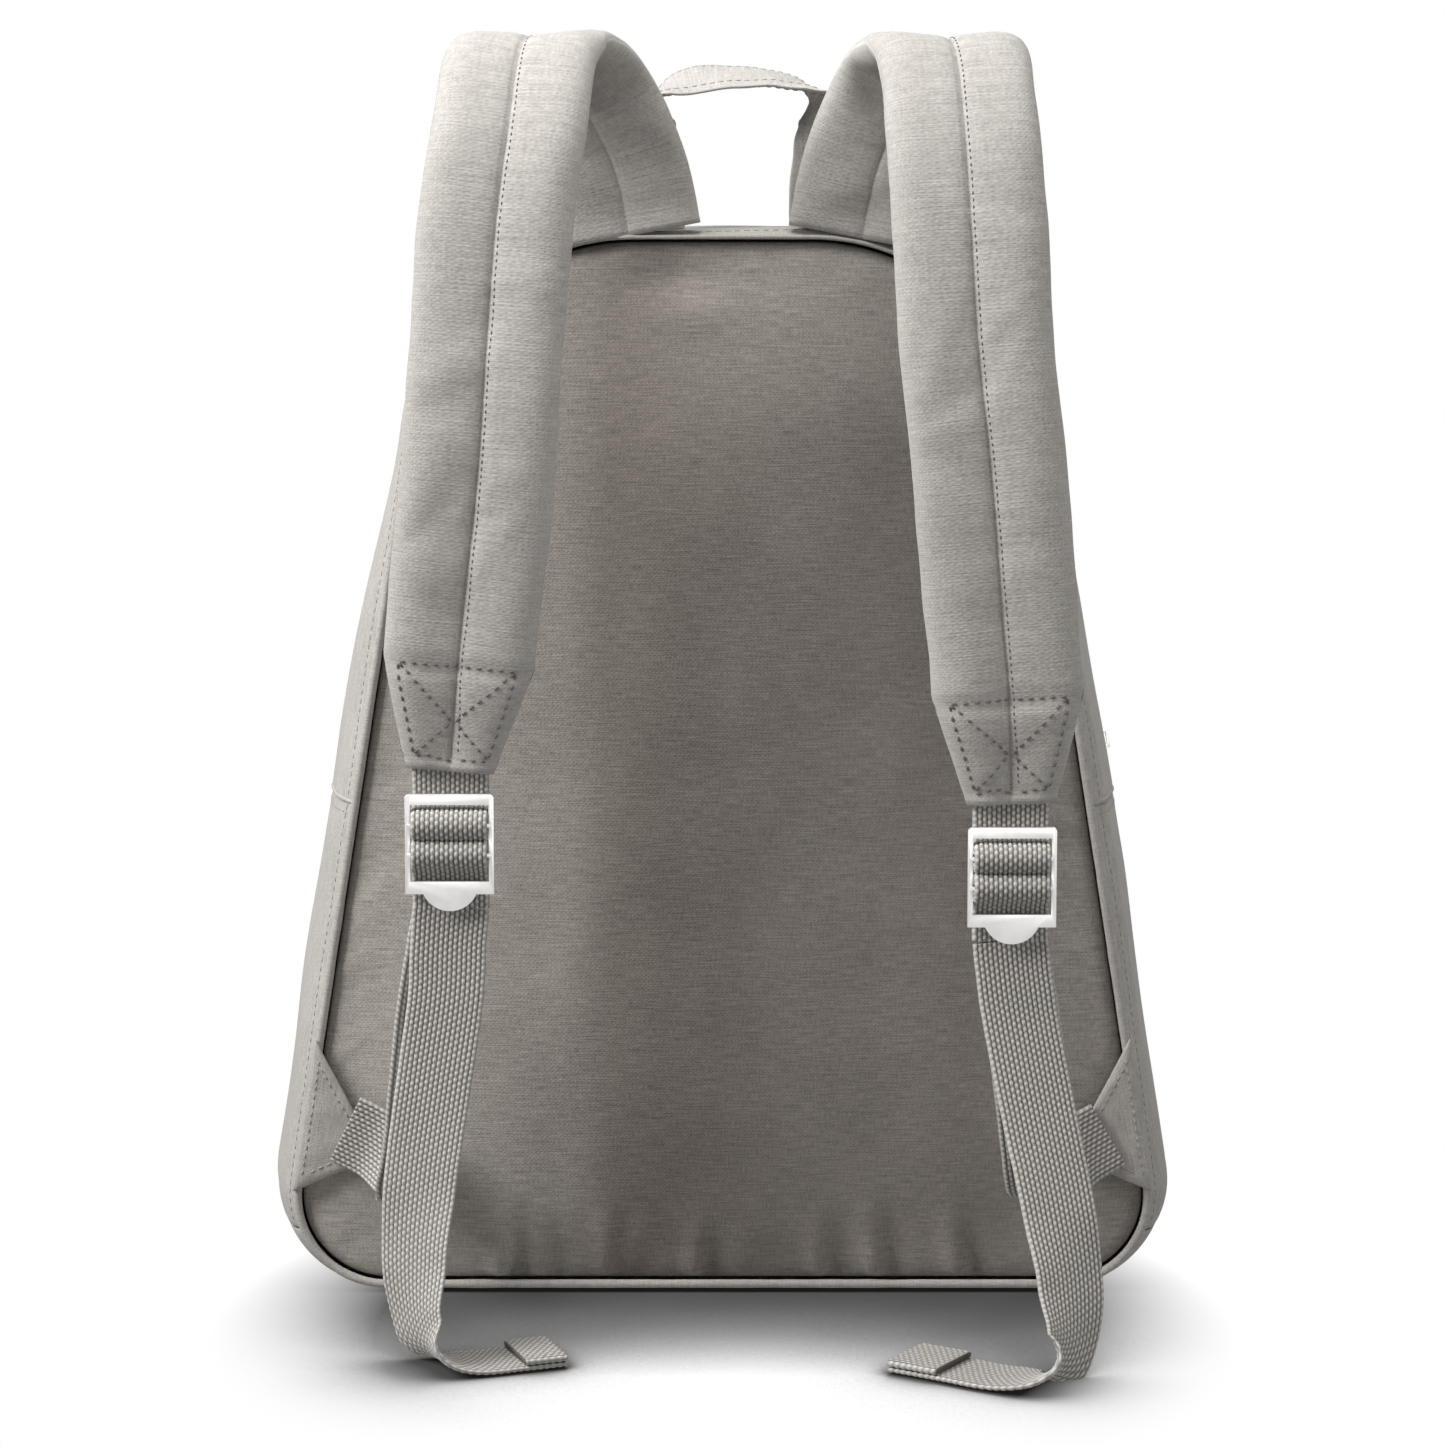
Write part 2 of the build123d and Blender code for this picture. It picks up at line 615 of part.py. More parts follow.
    # keeper: doubled webbing from the strap's tip, once round the upper bar
    turn = BUCKLE_ROD / 2 + WEB_THICK / 2 + 0.4
    web_plane = Plane(origin=(buckle_x - WEB_WIDTH / 2, 0, 0), x_dir=(0, 1, 0), z_dir=(1, 0, 0))
    near_y = buckle_y + BUCKLE_STEP - 1
    far_y = near_y + WEB_THICK + 0.2
    keeper_top = tip_z - FIT
    with BuildPart() as keeper:
        with BuildSketch(web_plane):
            with BuildLine():
                FilletPolyline(
                    (far_y, keeper_top),
                    (far_y, keeper_z - turn + 2),
                    (buckle_y + 3, keeper_z - turn),
                    (buckle_y - turn, keeper_z - turn),
                    (buckle_y - turn, keeper_z + turn),
                    (buckle_y + 1.5, keeper_z + turn),
                    (near_y, keeper_z + turn + 3),
                    (near_y, keeper_top),
                    radius=1.2,
                )
            trace(line_width=WEB_THICK)
        extrude(amount=WEB_WIDTH)
    write(keeper, f"keeper_webbing_{name}")

    # adjuster: webbing that turns over the lower bar; both ends leave behind the foot bar
    wrap_end = foot_z - TAB_DROP - 0.7
    with BuildPart() as adjuster:
        with BuildSketch(web_plane):
            with BuildLine():
                FilletPolyline(
                    (buckle_y + BUCKLE_STEP, wrap_end),
                    (buckle_y + BUCKLE_STEP, lower_z),
                    (buckle_y + 2.4, lower_z + turn),
                    (buckle_y - turn, lower_z + turn),
                    (buckle_y - turn, lower_z - turn),
                    (buckle_y + 0.8, lower_z - turn),
                    (buckle_y + TAIL_STEP, lower_z - turn - 3),
                    (buckle_y + TAIL_STEP, wrap_end),
                    radius=1.2,
                )
            trace(line_width=WEB_THICK)
        extrude(amount=WEB_WIDTH)
    write(adjuster, f"adjuster_wrap_{name}")

    # free end: hangs from the adjuster, turns in on the floor and ends in a folded hem
    tail_top = (buckle_x, buckle_y + TAIL_STEP, wrap_end - FIT)
    tail_route = (tail_top,) + tuple((x, BACK_Y + y, z) for x, y, z in side["tail"])
    tail_planes = stations(tail_route, ((1, 0, 0),) + side["tail_across"])
    tail_planes[0] = Plane(origin=tail_top, x_dir=(1, 0, 0), z_dir=(0, 0, -1))
    count = len(tail_route)
    tail = ribbon(tail_planes, [WEB_WIDTH] * count, [WEB_THICK] * count)
    write(tail, f"webbing_tail_{name}")

    lift = (WEB_THICK + HEM_THICK) / 2
    hem_planes = [Plane(plane.origin + Vector(0, 0, lift), x_dir=plane.x_dir, z_dir=plane.z_dir)
                  for plane in tail_planes[-2:]]
    hem = ribbon(hem_planes, [WEB_WIDTH] * 2, [HEM_THICK] * 2)
    write(hem, f"tail_hem_{name}")

    # wing: a folded triangle sewn into the side seam, with the lower webbing on it
    wing_side = side["wing"]
    with BuildPart() as wing:
        with BuildSketch(rear_plane(BACK_Y - FIT)):
            with BuildLine():
                Polyline(
                    (wing_side * half_width(WING_HIGH_Z, SEAM_GROW - 1), WING_HIGH_Z),
                    (wing_side * half_width(WING_LOW_Z, SEAM_GROW - 1), WING_LOW_Z),
                    (wing_side * (half_width(WING_APEX_Z) - WING_REACH), WING_APEX_Z),
                    close=True,
                )
            make_face()
        extrude(amount=WING_THICK)
    write(wing, f"wing_tab_{name}")

    anchor_top = (buckle_x, buckle_y + BUCKLE_STEP, wrap_end - 1.2)
    anchor_route = tuple((x, BACK_Y + y, z) for x, y, z in side["anchor"]) + (anchor_top,)
    turned = [(x * -wing_side, y, z) for x, y, z in ANCHOR_ACROSS]
    anchor_planes = stations(anchor_route, turned)
    anchor_planes[-1] = Plane(origin=anchor_top, x_dir=turned[-1], z_dir=(0, 0, 1))
    count = len(anchor_route)
    anchor = ribbon(anchor_planes, [WEB_WIDTH] * count, [WEB_THICK] * count)
    write(anchor, f"anchor_webbing_{name}")

# ---- haul loop: a flat strip that twists a quarter turn on its way up each leg --------------
HAUL_X = 6.0
HAUL_HALF = 23.0
HAUL_RISE = 50.0
HAUL_Y = BACK_Y + 25.0
haul_z = HEAD_Z + SEAM_GROW + FIT
haul_legs = (
    (1.0, 0.0, 0),
    (1.02, 0.20, 12),
    (1.06, 0.45, 50),
    (1.02, 0.70, 88),
    (0.80, 0.90, 90),
    (0.42, 0.985, 90),
)
haul_points = []
haul_across = []
for share, rise, twist in haul_legs:
    haul_points.append((HAUL_X - share * HAUL_HALF, HAUL_Y, haul_z + rise * HAUL_RISE))
    haul_across.append((cos(radians(twist)), sin(radians(twist)), 0))
haul_points.append((HAUL_X, HAUL_Y, haul_z + HAUL_RISE))
haul_across.append((0, 1, 0))
for share, rise, twist in reversed(haul_legs):
    haul_points.append((HAUL_X + share * HAUL_HALF, HAUL_Y, haul_z + rise * HAUL_RISE))
    haul_across.append((-cos(radians(twist)), sin(radians(twist)), 0))
haul_planes = stations(haul_points, haul_across)
haul_planes[0] = Plane(origin=haul_points[0], x_dir=(1, 0, 0), z_dir=(0, 0, 1))
haul_planes[-1] = Plane(origin=haul_points[-1], x_dir=(-1, 0, 0), z_dir=(0, 0, -1))
haul_loop = ribbon(haul_planes, [HAUL_WIDTH] * len(haul_planes), [HAUL_THICK] * len(haul_planes))
write(haul_loop, "haul_loop")
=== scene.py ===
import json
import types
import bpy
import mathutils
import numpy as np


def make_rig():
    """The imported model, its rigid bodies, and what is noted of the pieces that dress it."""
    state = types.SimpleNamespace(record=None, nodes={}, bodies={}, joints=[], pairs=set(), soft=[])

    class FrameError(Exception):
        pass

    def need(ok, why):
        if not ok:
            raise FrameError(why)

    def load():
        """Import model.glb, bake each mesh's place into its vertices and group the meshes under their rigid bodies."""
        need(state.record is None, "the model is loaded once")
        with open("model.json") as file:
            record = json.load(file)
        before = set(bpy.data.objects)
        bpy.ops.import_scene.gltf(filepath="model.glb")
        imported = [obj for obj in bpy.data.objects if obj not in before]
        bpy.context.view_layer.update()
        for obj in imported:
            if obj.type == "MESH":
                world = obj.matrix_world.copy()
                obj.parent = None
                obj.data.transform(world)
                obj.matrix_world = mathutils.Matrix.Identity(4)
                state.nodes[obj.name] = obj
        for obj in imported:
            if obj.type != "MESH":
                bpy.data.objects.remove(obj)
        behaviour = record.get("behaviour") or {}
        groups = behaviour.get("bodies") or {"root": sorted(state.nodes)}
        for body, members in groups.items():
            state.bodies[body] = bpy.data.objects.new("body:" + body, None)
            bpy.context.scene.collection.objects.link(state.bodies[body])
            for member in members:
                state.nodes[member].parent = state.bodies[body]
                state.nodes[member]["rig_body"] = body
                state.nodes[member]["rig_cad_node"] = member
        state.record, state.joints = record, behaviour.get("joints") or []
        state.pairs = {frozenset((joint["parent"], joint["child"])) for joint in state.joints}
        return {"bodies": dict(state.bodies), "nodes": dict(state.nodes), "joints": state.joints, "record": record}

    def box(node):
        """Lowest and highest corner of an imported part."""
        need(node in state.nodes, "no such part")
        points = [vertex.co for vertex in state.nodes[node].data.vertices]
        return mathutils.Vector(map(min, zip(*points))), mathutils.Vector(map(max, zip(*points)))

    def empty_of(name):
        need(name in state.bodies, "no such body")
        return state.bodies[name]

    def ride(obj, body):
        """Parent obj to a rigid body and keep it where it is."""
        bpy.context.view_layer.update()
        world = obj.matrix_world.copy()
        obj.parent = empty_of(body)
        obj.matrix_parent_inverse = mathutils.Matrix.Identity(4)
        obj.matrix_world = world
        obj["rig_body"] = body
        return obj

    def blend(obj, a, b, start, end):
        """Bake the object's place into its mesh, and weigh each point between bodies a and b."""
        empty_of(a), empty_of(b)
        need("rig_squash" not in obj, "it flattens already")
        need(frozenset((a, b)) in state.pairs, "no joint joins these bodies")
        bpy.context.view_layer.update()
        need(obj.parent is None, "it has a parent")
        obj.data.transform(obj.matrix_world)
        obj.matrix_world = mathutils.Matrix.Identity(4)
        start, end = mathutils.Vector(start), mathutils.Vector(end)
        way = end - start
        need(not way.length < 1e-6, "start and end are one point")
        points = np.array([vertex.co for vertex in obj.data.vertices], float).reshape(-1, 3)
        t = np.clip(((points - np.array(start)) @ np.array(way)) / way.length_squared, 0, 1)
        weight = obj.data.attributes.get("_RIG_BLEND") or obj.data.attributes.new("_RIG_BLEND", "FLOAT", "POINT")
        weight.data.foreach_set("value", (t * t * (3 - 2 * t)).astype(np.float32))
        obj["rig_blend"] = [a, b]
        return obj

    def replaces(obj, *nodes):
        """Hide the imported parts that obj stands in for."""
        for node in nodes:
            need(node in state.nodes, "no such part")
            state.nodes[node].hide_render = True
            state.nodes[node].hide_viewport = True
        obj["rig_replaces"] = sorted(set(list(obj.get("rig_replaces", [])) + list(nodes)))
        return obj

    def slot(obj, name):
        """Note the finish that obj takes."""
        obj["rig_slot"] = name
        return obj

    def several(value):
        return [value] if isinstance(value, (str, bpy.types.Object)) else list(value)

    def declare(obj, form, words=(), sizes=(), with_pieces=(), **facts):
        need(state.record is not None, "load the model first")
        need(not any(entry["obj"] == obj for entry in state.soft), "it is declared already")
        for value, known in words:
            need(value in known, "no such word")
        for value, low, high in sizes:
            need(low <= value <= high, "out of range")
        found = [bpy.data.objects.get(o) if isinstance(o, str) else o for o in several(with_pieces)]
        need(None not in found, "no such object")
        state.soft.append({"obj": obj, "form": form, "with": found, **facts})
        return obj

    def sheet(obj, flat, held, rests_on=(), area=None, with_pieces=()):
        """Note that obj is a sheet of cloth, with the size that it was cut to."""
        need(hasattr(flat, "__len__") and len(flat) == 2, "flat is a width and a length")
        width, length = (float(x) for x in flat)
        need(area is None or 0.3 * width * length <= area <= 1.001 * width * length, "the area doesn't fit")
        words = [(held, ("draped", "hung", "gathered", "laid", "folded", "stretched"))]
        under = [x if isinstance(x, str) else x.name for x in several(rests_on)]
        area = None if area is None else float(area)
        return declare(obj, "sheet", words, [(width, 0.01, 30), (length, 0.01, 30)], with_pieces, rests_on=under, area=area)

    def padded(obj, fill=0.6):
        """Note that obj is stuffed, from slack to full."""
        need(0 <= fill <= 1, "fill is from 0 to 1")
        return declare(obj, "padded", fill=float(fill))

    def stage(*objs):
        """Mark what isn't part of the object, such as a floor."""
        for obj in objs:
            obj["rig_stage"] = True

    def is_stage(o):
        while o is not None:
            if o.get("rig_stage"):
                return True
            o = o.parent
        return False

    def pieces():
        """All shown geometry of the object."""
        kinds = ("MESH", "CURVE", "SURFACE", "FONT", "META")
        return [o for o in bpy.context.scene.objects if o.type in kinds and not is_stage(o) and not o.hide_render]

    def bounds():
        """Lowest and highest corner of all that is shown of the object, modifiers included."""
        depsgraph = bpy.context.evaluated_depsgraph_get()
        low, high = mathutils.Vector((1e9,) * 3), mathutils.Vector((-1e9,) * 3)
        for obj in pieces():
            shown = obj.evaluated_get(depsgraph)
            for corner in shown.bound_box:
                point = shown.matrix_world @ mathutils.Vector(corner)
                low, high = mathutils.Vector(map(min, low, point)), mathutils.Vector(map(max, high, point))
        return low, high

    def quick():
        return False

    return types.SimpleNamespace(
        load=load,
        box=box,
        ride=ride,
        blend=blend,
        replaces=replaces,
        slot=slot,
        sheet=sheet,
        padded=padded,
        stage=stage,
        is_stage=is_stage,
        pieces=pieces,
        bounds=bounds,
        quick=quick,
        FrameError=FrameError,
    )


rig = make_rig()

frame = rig.load()

import bisect
import json
import math
import bmesh
import bpy
from mathutils import Matrix, Vector, noise
from mathutils.bvhtree import BVHTree

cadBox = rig.bounds()
mm = 0.001
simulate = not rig.quick()


# small helpers
def smooth(x):
    x = min(max(x, 0.0), 1.0)
    return x * x * (3 - 2 * x)


def lump(x, centre, width):
    return math.exp(-((x - centre) / width) ** 2)


def rough(a, b, c=0.0):
    return noise.noise(Vector((a, b, c)))


def newPiece(name, bm, material):
    mesh = bpy.data.meshes.new(name)
    bm.normal_update()
    bm.to_mesh(mesh)
    bm.free()
    piece = bpy.data.objects.new(name, mesh)
    bpy.context.scene.collection.objects.link(piece)
    mesh.materials.append(material)
    for polygon in mesh.polygons:
        polygon.use_smooth = True
    return piece


def gridPiece(name, material, across, along, place, size, wrap=False, flip=False, caps=False, marks=None):
    # a grid whose points are put in place by place(u, v), with a cloth map in metres
    bm = bmesh.new()
    bmesh.ops.create_grid(bm, x_segments=across, y_segments=along, size=0.5)
    cloth = bm.loops.layers.uv.new("cloth")
    for face in bm.faces:
        for loop in face.loops:
            u = loop.vert.co.x + 0.5
            v = loop.vert.co.y + 0.5
            loop[cloth].uv = (u * size[0], v * size[1])
    marks = marks or {}
    layers = {label: bm.verts.layers.float.new(label) for label in marks}
    for vert in bm.verts:
        u, v = vert.co.x + 0.5, vert.co.y + 0.5
        for label, layer in layers.items():
            vert[layer] = marks[label](u, v)
        vert.co = place(u, v)
    if wrap:
        bmesh.ops.remove_doubles(bm, verts=bm.verts, dist=1e-6)
    if caps:
        rim = [edge for edge in bm.edges if edge.is_boundary]
        bmesh.ops.holes_fill(bm, edges=rim, sides=0)
        bmesh.ops.recalc_face_normals(bm, faces=bm.faces)
    if flip:
        bmesh.ops.reverse_faces(bm, faces=bm.faces)
    return newPiece(name, bm, material)


def thicken(piece, thickness, levels=0):
    # a wall grown inward from the surface, then subdivided if levels are asked for
    wall = piece.modifiers.new("wall", "SOLIDIFY")
    wall.thickness = thickness
    wall.offset = -1.0
    wall.use_even_offset = False
    if levels:
        sub = piece.modifiers.new("finer", "SUBSURF")
        sub.levels = levels
        sub.render_levels = levels
    return piece


# materials: groups first, then one function for each kind of finish
def newGroup(name, inputs, outputs):
    group = bpy.data.node_groups.new(name, "ShaderNodeTree")
    for label, kind, value in inputs:
        socket = group.interface.new_socket(name=label, in_out="INPUT", socket_type=kind)
        if value is not None:
            socket.default_value = value
    for label, kind in outputs:
        group.interface.new_socket(name=label, in_out="OUTPUT", socket_type=kind)
    start = group.nodes.new("NodeGroupInput")
    end = group.nodes.new("NodeGroupOutput")
    return group, start, end


def math2(tree, operation, a, b):
    node = tree.nodes.new("ShaderNodeMath")
    node.operation = operation
    for slot, value in enumerate((a, b)):
        if isinstance(value, (int, float)):
            node.inputs[slot].default_value = value
        else:
            tree.links.new(value, node.inputs[slot])
    return node.outputs[0]


def noiseOn(tree, vector, scale, stretch=(1, 1, 1), detail=2.0):
    mapping = tree.nodes.new("ShaderNodeMapping")
    mapping.inputs["Scale"].default_value = [scale * k for k in stretch]
    tree.links.new(vector, mapping.inputs["Vector"])
    tex = tree.nodes.new("ShaderNodeTexNoise")
    tex.inputs["Scale"].default_value = 1.0
    tex.inputs["Detail"].default_value = detail
    tree.links.new(mapping.outputs[0], tex.inputs["Vector"])
    return tex.outputs["Fac"]


def buildWeave():
    # plain weave with slubs: Shade is 0 dark to 1 pale, Height feeds a bump
    group, start, end = newGroup(
        "weaveOfYarns",
        [("Vector", "NodeSocketVector", None), ("Yarn", "NodeSocketFloat", 1300.0)],
        [("Shade", "NodeSocketFloat"), ("Height", "NodeSocketFloat")],
    )
    vector = start.outputs["Vector"]
    split = group.nodes.new("ShaderNodeSeparateXYZ")
    group.links.new(vector, split.inputs[0])
    turns = math2(group, "MULTIPLY", start.outputs["Yarn"], math.pi)
    wobble = math2(group, "MULTIPLY", noiseOn(group, vector, 260.0), 3.0)
    waves = []
    for axis in (0, 1):
        phase = math2(group, "ADD", math2(group, "MULTIPLY", split.outputs[axis], turns), wobble)
        waves.append(math2(group, "SINE", phase, 0.0))
    crossing = math2(group, "MULTIPLY", waves[0], waves[1])
    weft = noiseOn(group, vector, 1.0, (150, 1900, 1), 3.0)
    warp = noiseOn(group, vector, 1.0, (1600, 300, 1), 3.0)
    slub = noiseOn(group, vector, 1.0, (55, 1000, 1), 1.0)
    broad = noiseOn(group, vector, 22.0, (1, 1, 1), 3.0)
    shade = math2(group, "MULTIPLY", weft, 0.40)
    shade = math2(group, "ADD", shade, math2(group, "MULTIPLY", warp, 0.34))
    shade = math2(group, "ADD", shade, math2(group, "MULTIPLY", slub, 0.16))
    shade = math2(group, "ADD", shade, math2(group, "MULTIPLY", broad, 0.14))
    shade = math2(group, "ADD", shade, math2(group, "MULTIPLY", crossing, 0.03))
    height = math2(group, "ADD", math2(group, "MULTIPLY", crossing, 0.16), weft)
    height = math2(group, "ADD", height, math2(group, "MULTIPLY", warp, 0.5))
    group.links.new(shade, end.inputs["Shade"])
    group.links.new(height, end.inputs["Height"])
    return group


weaveGroup = buildWeave()


def newMaterial(name):
    material = bpy.data.materials.new(name)
    material.use_nodes = True
    tree = material.node_tree
    shader = next(node for node in tree.nodes if node.type == "BSDF_PRINCIPLED")
    return material, tree, shader


def mixColour(tree, factor, dark, pale):
    node = tree.nodes.new("ShaderNodeMix")
    node.data_type = "RGBA"
    tree.links.new(factor, node.inputs[0])
    for socket, value in ((node.inputs[6], dark), (node.inputs[7], pale)):
        if isinstance(value, tuple):
            socket.default_value = (*value, 1.0)
        else:
            tree.links.new(value, socket)
    return node.outputs[2]


def remap(tree, value, low=0.0, high=1.0, toLow=0.0, toHigh=1.0):
    # stretches low..high to toLow..toHigh, held at both ends
    node = tree.nodes.new("ShaderNodeMapRange")
    ends = {"From Min": low, "From Max": high, "To Min": toLow, "To Max": toHigh}
    for label, end in ends.items():
        if isinstance(end, (int, float)):
            node.inputs[label].default_value = end
        else:
            tree.links.new(end, node.inputs[label])
    tree.links.new(value, node.inputs["Value"])
    return node.outputs[0]


def markOn(tree, label):
    # a value stored on the mesh's points
    node = tree.nodes.new("ShaderNodeAttribute")
    node.attribute_name = label
    return node.outputs["Fac"]


def ownCoords(tree):
    return tree.nodes.new("ShaderNodeTexCoord").outputs["Object"]


def setInputs(node, values):
    for label, value in values.items():
        node.inputs[label].default_value = value


def bumpFrom(tree, height, shader, distance, strength=1.0):
    bump = tree.nodes.new("ShaderNodeBump")
    bump.inputs["Strength"].default_value = strength
    bump.inputs["Distance"].default_value = distance
    tree.links.new(height, bump.inputs["Height"])
    tree.links.new(bump.outputs[0], shader.inputs["Normal"])


def clothVector(tree, flat):
    # flat pieces read their own x and z; shaped ones read the cloth map
    if flat:
        split = tree.nodes.new("ShaderNodeSeparateXYZ")
        tree.links.new(ownCoords(tree), split.inputs[0])
        join = tree.nodes.new("ShaderNodeCombineXYZ")
        tree.links.new(split.outputs["X"], join.inputs["X"])
        tree.links.new(split.outputs["Z"], join.inputs["Y"])
        return join.outputs[0]
    cloth = tree.nodes.new("ShaderNodeUVMap")
    cloth.uv_map = "cloth"
    return cloth.outputs[0]


def canvas(name, dark, pale, flat=False, yarn=1300.0, depth=0.00016, litPair=None):
    # woven cloth; its edge mark paints the edges pale, as a painted highlight on the straps, and its painted light mark
    # moves the colour out of the painted shade to the lit pair
    material, tree, shader = newMaterial(name)
    vector = clothVector(tree, flat)
    weave = tree.nodes.new("ShaderNodeGroup")
    weave.node_tree = weaveGroup
    weave.inputs["Yarn"].default_value = yarn
    tree.links.new(vector, weave.inputs["Vector"])
    shade = remap(tree, weave.outputs["Shade"], 0.36, 0.68)
    colour = mixColour(tree, shade, dark, pale)
    # painted light: where the mark is high, the painted shade gives way to the lit pair of colours
    if litPair:
        colour = mixColour(tree, markOn(tree, "fade"), colour, mixColour(tree, shade, *litPair))
    # pale edges, painted as a highlight along the straps' edges
    colour = mixColour(tree, markOn(tree, "wear"), colour, (0.62, 0.60, 0.565))
    tree.links.new(colour, shader.inputs["Base Color"])
    setInputs(shader, {
        "Roughness": 0.92,
        "Specular IOR Level": 0.18,
        "Sheen Weight": 0.12,
        "Sheen Roughness": 0.6,
    })
    bumpFrom(tree, weave.outputs["Height"], shader, depth)
    return material


def webbing(name):
    # the grain is in the mesh; its hollows are painted darker as shade, on top of the fibre's own tone
    material, tree, shader = newMaterial(name)
    fibre = noiseOn(tree, clothVector(tree, False), 1.0, (2600, 900, 1), 2.0)
    toneAndHollowShade = math2(tree, "ADD", math2(tree, "MULTIPLY", fibre, 0.55), markOn(tree, "grain"))
    toneAndHollowShade = remap(tree, toneAndHollowShade, 0.30, 1.20)
    colour = mixColour(tree, toneAndHollowShade, (0.12, 0.108, 0.096), (0.66, 0.635, 0.595))
    colour = mixColour(tree, markOn(tree, "wear"), colour, (0.62, 0.60, 0.56))
    tree.links.new(colour, shader.inputs["Base Color"])
    setInputs(shader, {"Roughness": 0.9, "Specular IOR Level": 0.2, "Sheen Weight": 0.1})
    bumpFrom(tree, fibre, shader, 0.00008)
    return material


def metal(name, colour, roughness, brush):
    material, tree, shader = newMaterial(name)
    coords = ownCoords(tree)
    lines = noiseOn(tree, coords, 1.0, brush, 3.0)
    soil = remap(tree, noiseOn(tree, coords, 240.0, (1, 1, 1), 3.0), 0.3, 0.65)
    dim = tuple(0.92 * value for value in colour)
    tree.links.new(mixColour(tree, soil, dim, colour), shader.inputs["Base Color"])
    shader.inputs["Metallic"].default_value = 1.0
    dull = remap(tree, lines, toLow=roughness - 0.1, toHigh=roughness + 0.12)
    tree.links.new(dull, shader.inputs["Roughness"])
    bumpFrom(tree, lines, shader, 0.00002, 0.6)
    return material


def threadMaterial(name, dark, pale):
    material, tree, shader = newMaterial(name)
    twist = noiseOn(tree, ownCoords(tree), 2600.0, (1, 1, 1), 2.0)
    tree.links.new(mixColour(tree, twist, dark, pale), shader.inputs["Base Color"])
    shader.inputs["Roughness"].default_value = 0.8
    bumpFrom(tree, twist, shader, 0.00006)
    return material


strapCanvas = canvas("strapCanvas", (0.30, 0.283, 0.262), (0.53, 0.505, 0.472))
bodyCanvas = canvas("bodyCanvas", (0.30, 0.283, 0.262), (0.52, 0.495, 0.462))
# painted shade: the back panel's canvas is painted darker than the body's, as the shade between the straps; its lit
# pair, near the body's colour, is painted where light falls
panelCanvas = canvas("panelCanvas", (0.118, 0.103, 0.090), (0.262, 0.229, 0.202), flat=True,
                     litPair=((0.285, 0.262, 0.236), (0.60, 0.56, 0.51)))
faceCanvas = canvas("faceCanvas", (0.29, 0.273, 0.252), (0.52, 0.495, 0.462), flat=True)
insideCanvas = canvas("insideCanvas", (0.24, 0.225, 0.208), (0.36, 0.34, 0.315), yarn=1700.0)
tapeWeave = canvas("tapeWeave", (0.24, 0.225, 0.205), (0.40, 0.38, 0.35), yarn=2200.0, depth=0.00008)
loopWebbing = webbing("loopWebbing")
buckleMetal = metal("buckleMetal", (0.66, 0.65, 0.635), 0.36, (60, 60, 2400))
zipMetal = metal("zipMetal", (0.74, 0.73, 0.71), 0.30, (2000, 60, 60))
darkThread = threadMaterial("darkThread", (0.09, 0.08, 0.07), (0.17, 0.155, 0.14))
paleThread = threadMaterial("paleThread", (0.26, 0.245, 0.225), (0.42, 0.40, 0.37))
coilNylon = threadMaterial("coilNylon", (0.22, 0.205, 0.19), (0.40, 0.38, 0.355))
print("materials done")

# the bag's outline, seen from the straps: flat foot and top, leaning sides, round corners
backLow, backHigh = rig.box("back_panel")
bag = {
    "footZ": backLow[2],
    "headZ": backHigh[2],
    "footHalf": 0.1528,
    "taper": 0.160,
    "flare": 0.007,
    "footRadius": 0.030,
    "crownRadius": 0.076,
    "backY": backLow[1],
    "frontY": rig.box("front_panel_upper")[1][1],
    "midSeam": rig.box("front_panel_lower")[1][2],
    "baseTop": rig.box("base_panel")[1][2],
    "edgeRoll": 0.010,
    "wrinkle": 0.0011,
}


def buildOutline(step=0.0006):
    # points and outward normals round the outline, from the middle of the foot
    foot, head = bag["footZ"], bag["headZ"]
    headHalf = bag["footHalf"] - bag["taper"] * (head - foot)
    corners = [(bag["footHalf"], foot), (headHalf, head), (-headHalf, head), (-bag["footHalf"], foot)]
    radii = [bag["footRadius"], bag["crownRadius"], bag["crownRadius"], bag["footRadius"]]
    samples = []
    here = Vector((0.0, foot))
    for index, corner in enumerate(corners):
        tip = Vector(corner)
        ahead = Vector(corners[index + 1]) if index < 3 else Vector((0.0, foot))
        way = (tip - Vector(corners[index - 1] if index else (0.0, foot))).normalized()
        out = (ahead - tip).normalized()
        turn = math.acos(way.dot(out))
        radius = radii[index]
        reach = radius * math.tan(turn / 2)
        begin = tip - way * reach
        samples += runOf(here, begin, step)
        centre = begin + Vector((-way.y, way.x)) * radius
        count = max(2, int(radius * turn / step))
        for k in range(count):
            angle = turn * k / count
            normal = Matrix.Rotation(angle, 2) @ Vector((way.y, -way.x))
            samples.append((centre + normal * radius, normal))
        here = tip + out * reach
    samples += runOf(here, Vector((0.0, foot)), step)
    lengths = [0.0]
    for (a, _), (b, _) in zip(samples, samples[1:]):
        lengths.append(lengths[-1] + (b - a).length)
    return samples, lengths


def runOf(a, b, step):
    way = (b - a).normalized()
    normal = Vector((way.y, -way.x))
    count = max(2, int((b - a).length / step))
    return [(a + (b - a) * (k / count), normal) for k in range(count)]


outlineSamples, outlineLengths = buildOutline()
girth = outlineLengths[-1]


def outlineAt(s):
    s = s % girth
    k = min(bisect.bisect_right(outlineLengths, s), len(outlineLengths) - 1)
    a, b = outlineSamples[k - 1], outlineSamples[k]
    t = (s - outlineLengths[k - 1]) / max(outlineLengths[k] - outlineLengths[k - 1], 1e-9)
    return a[0].lerp(b[0], t), a[1].lerp(b[1], t).normalized()


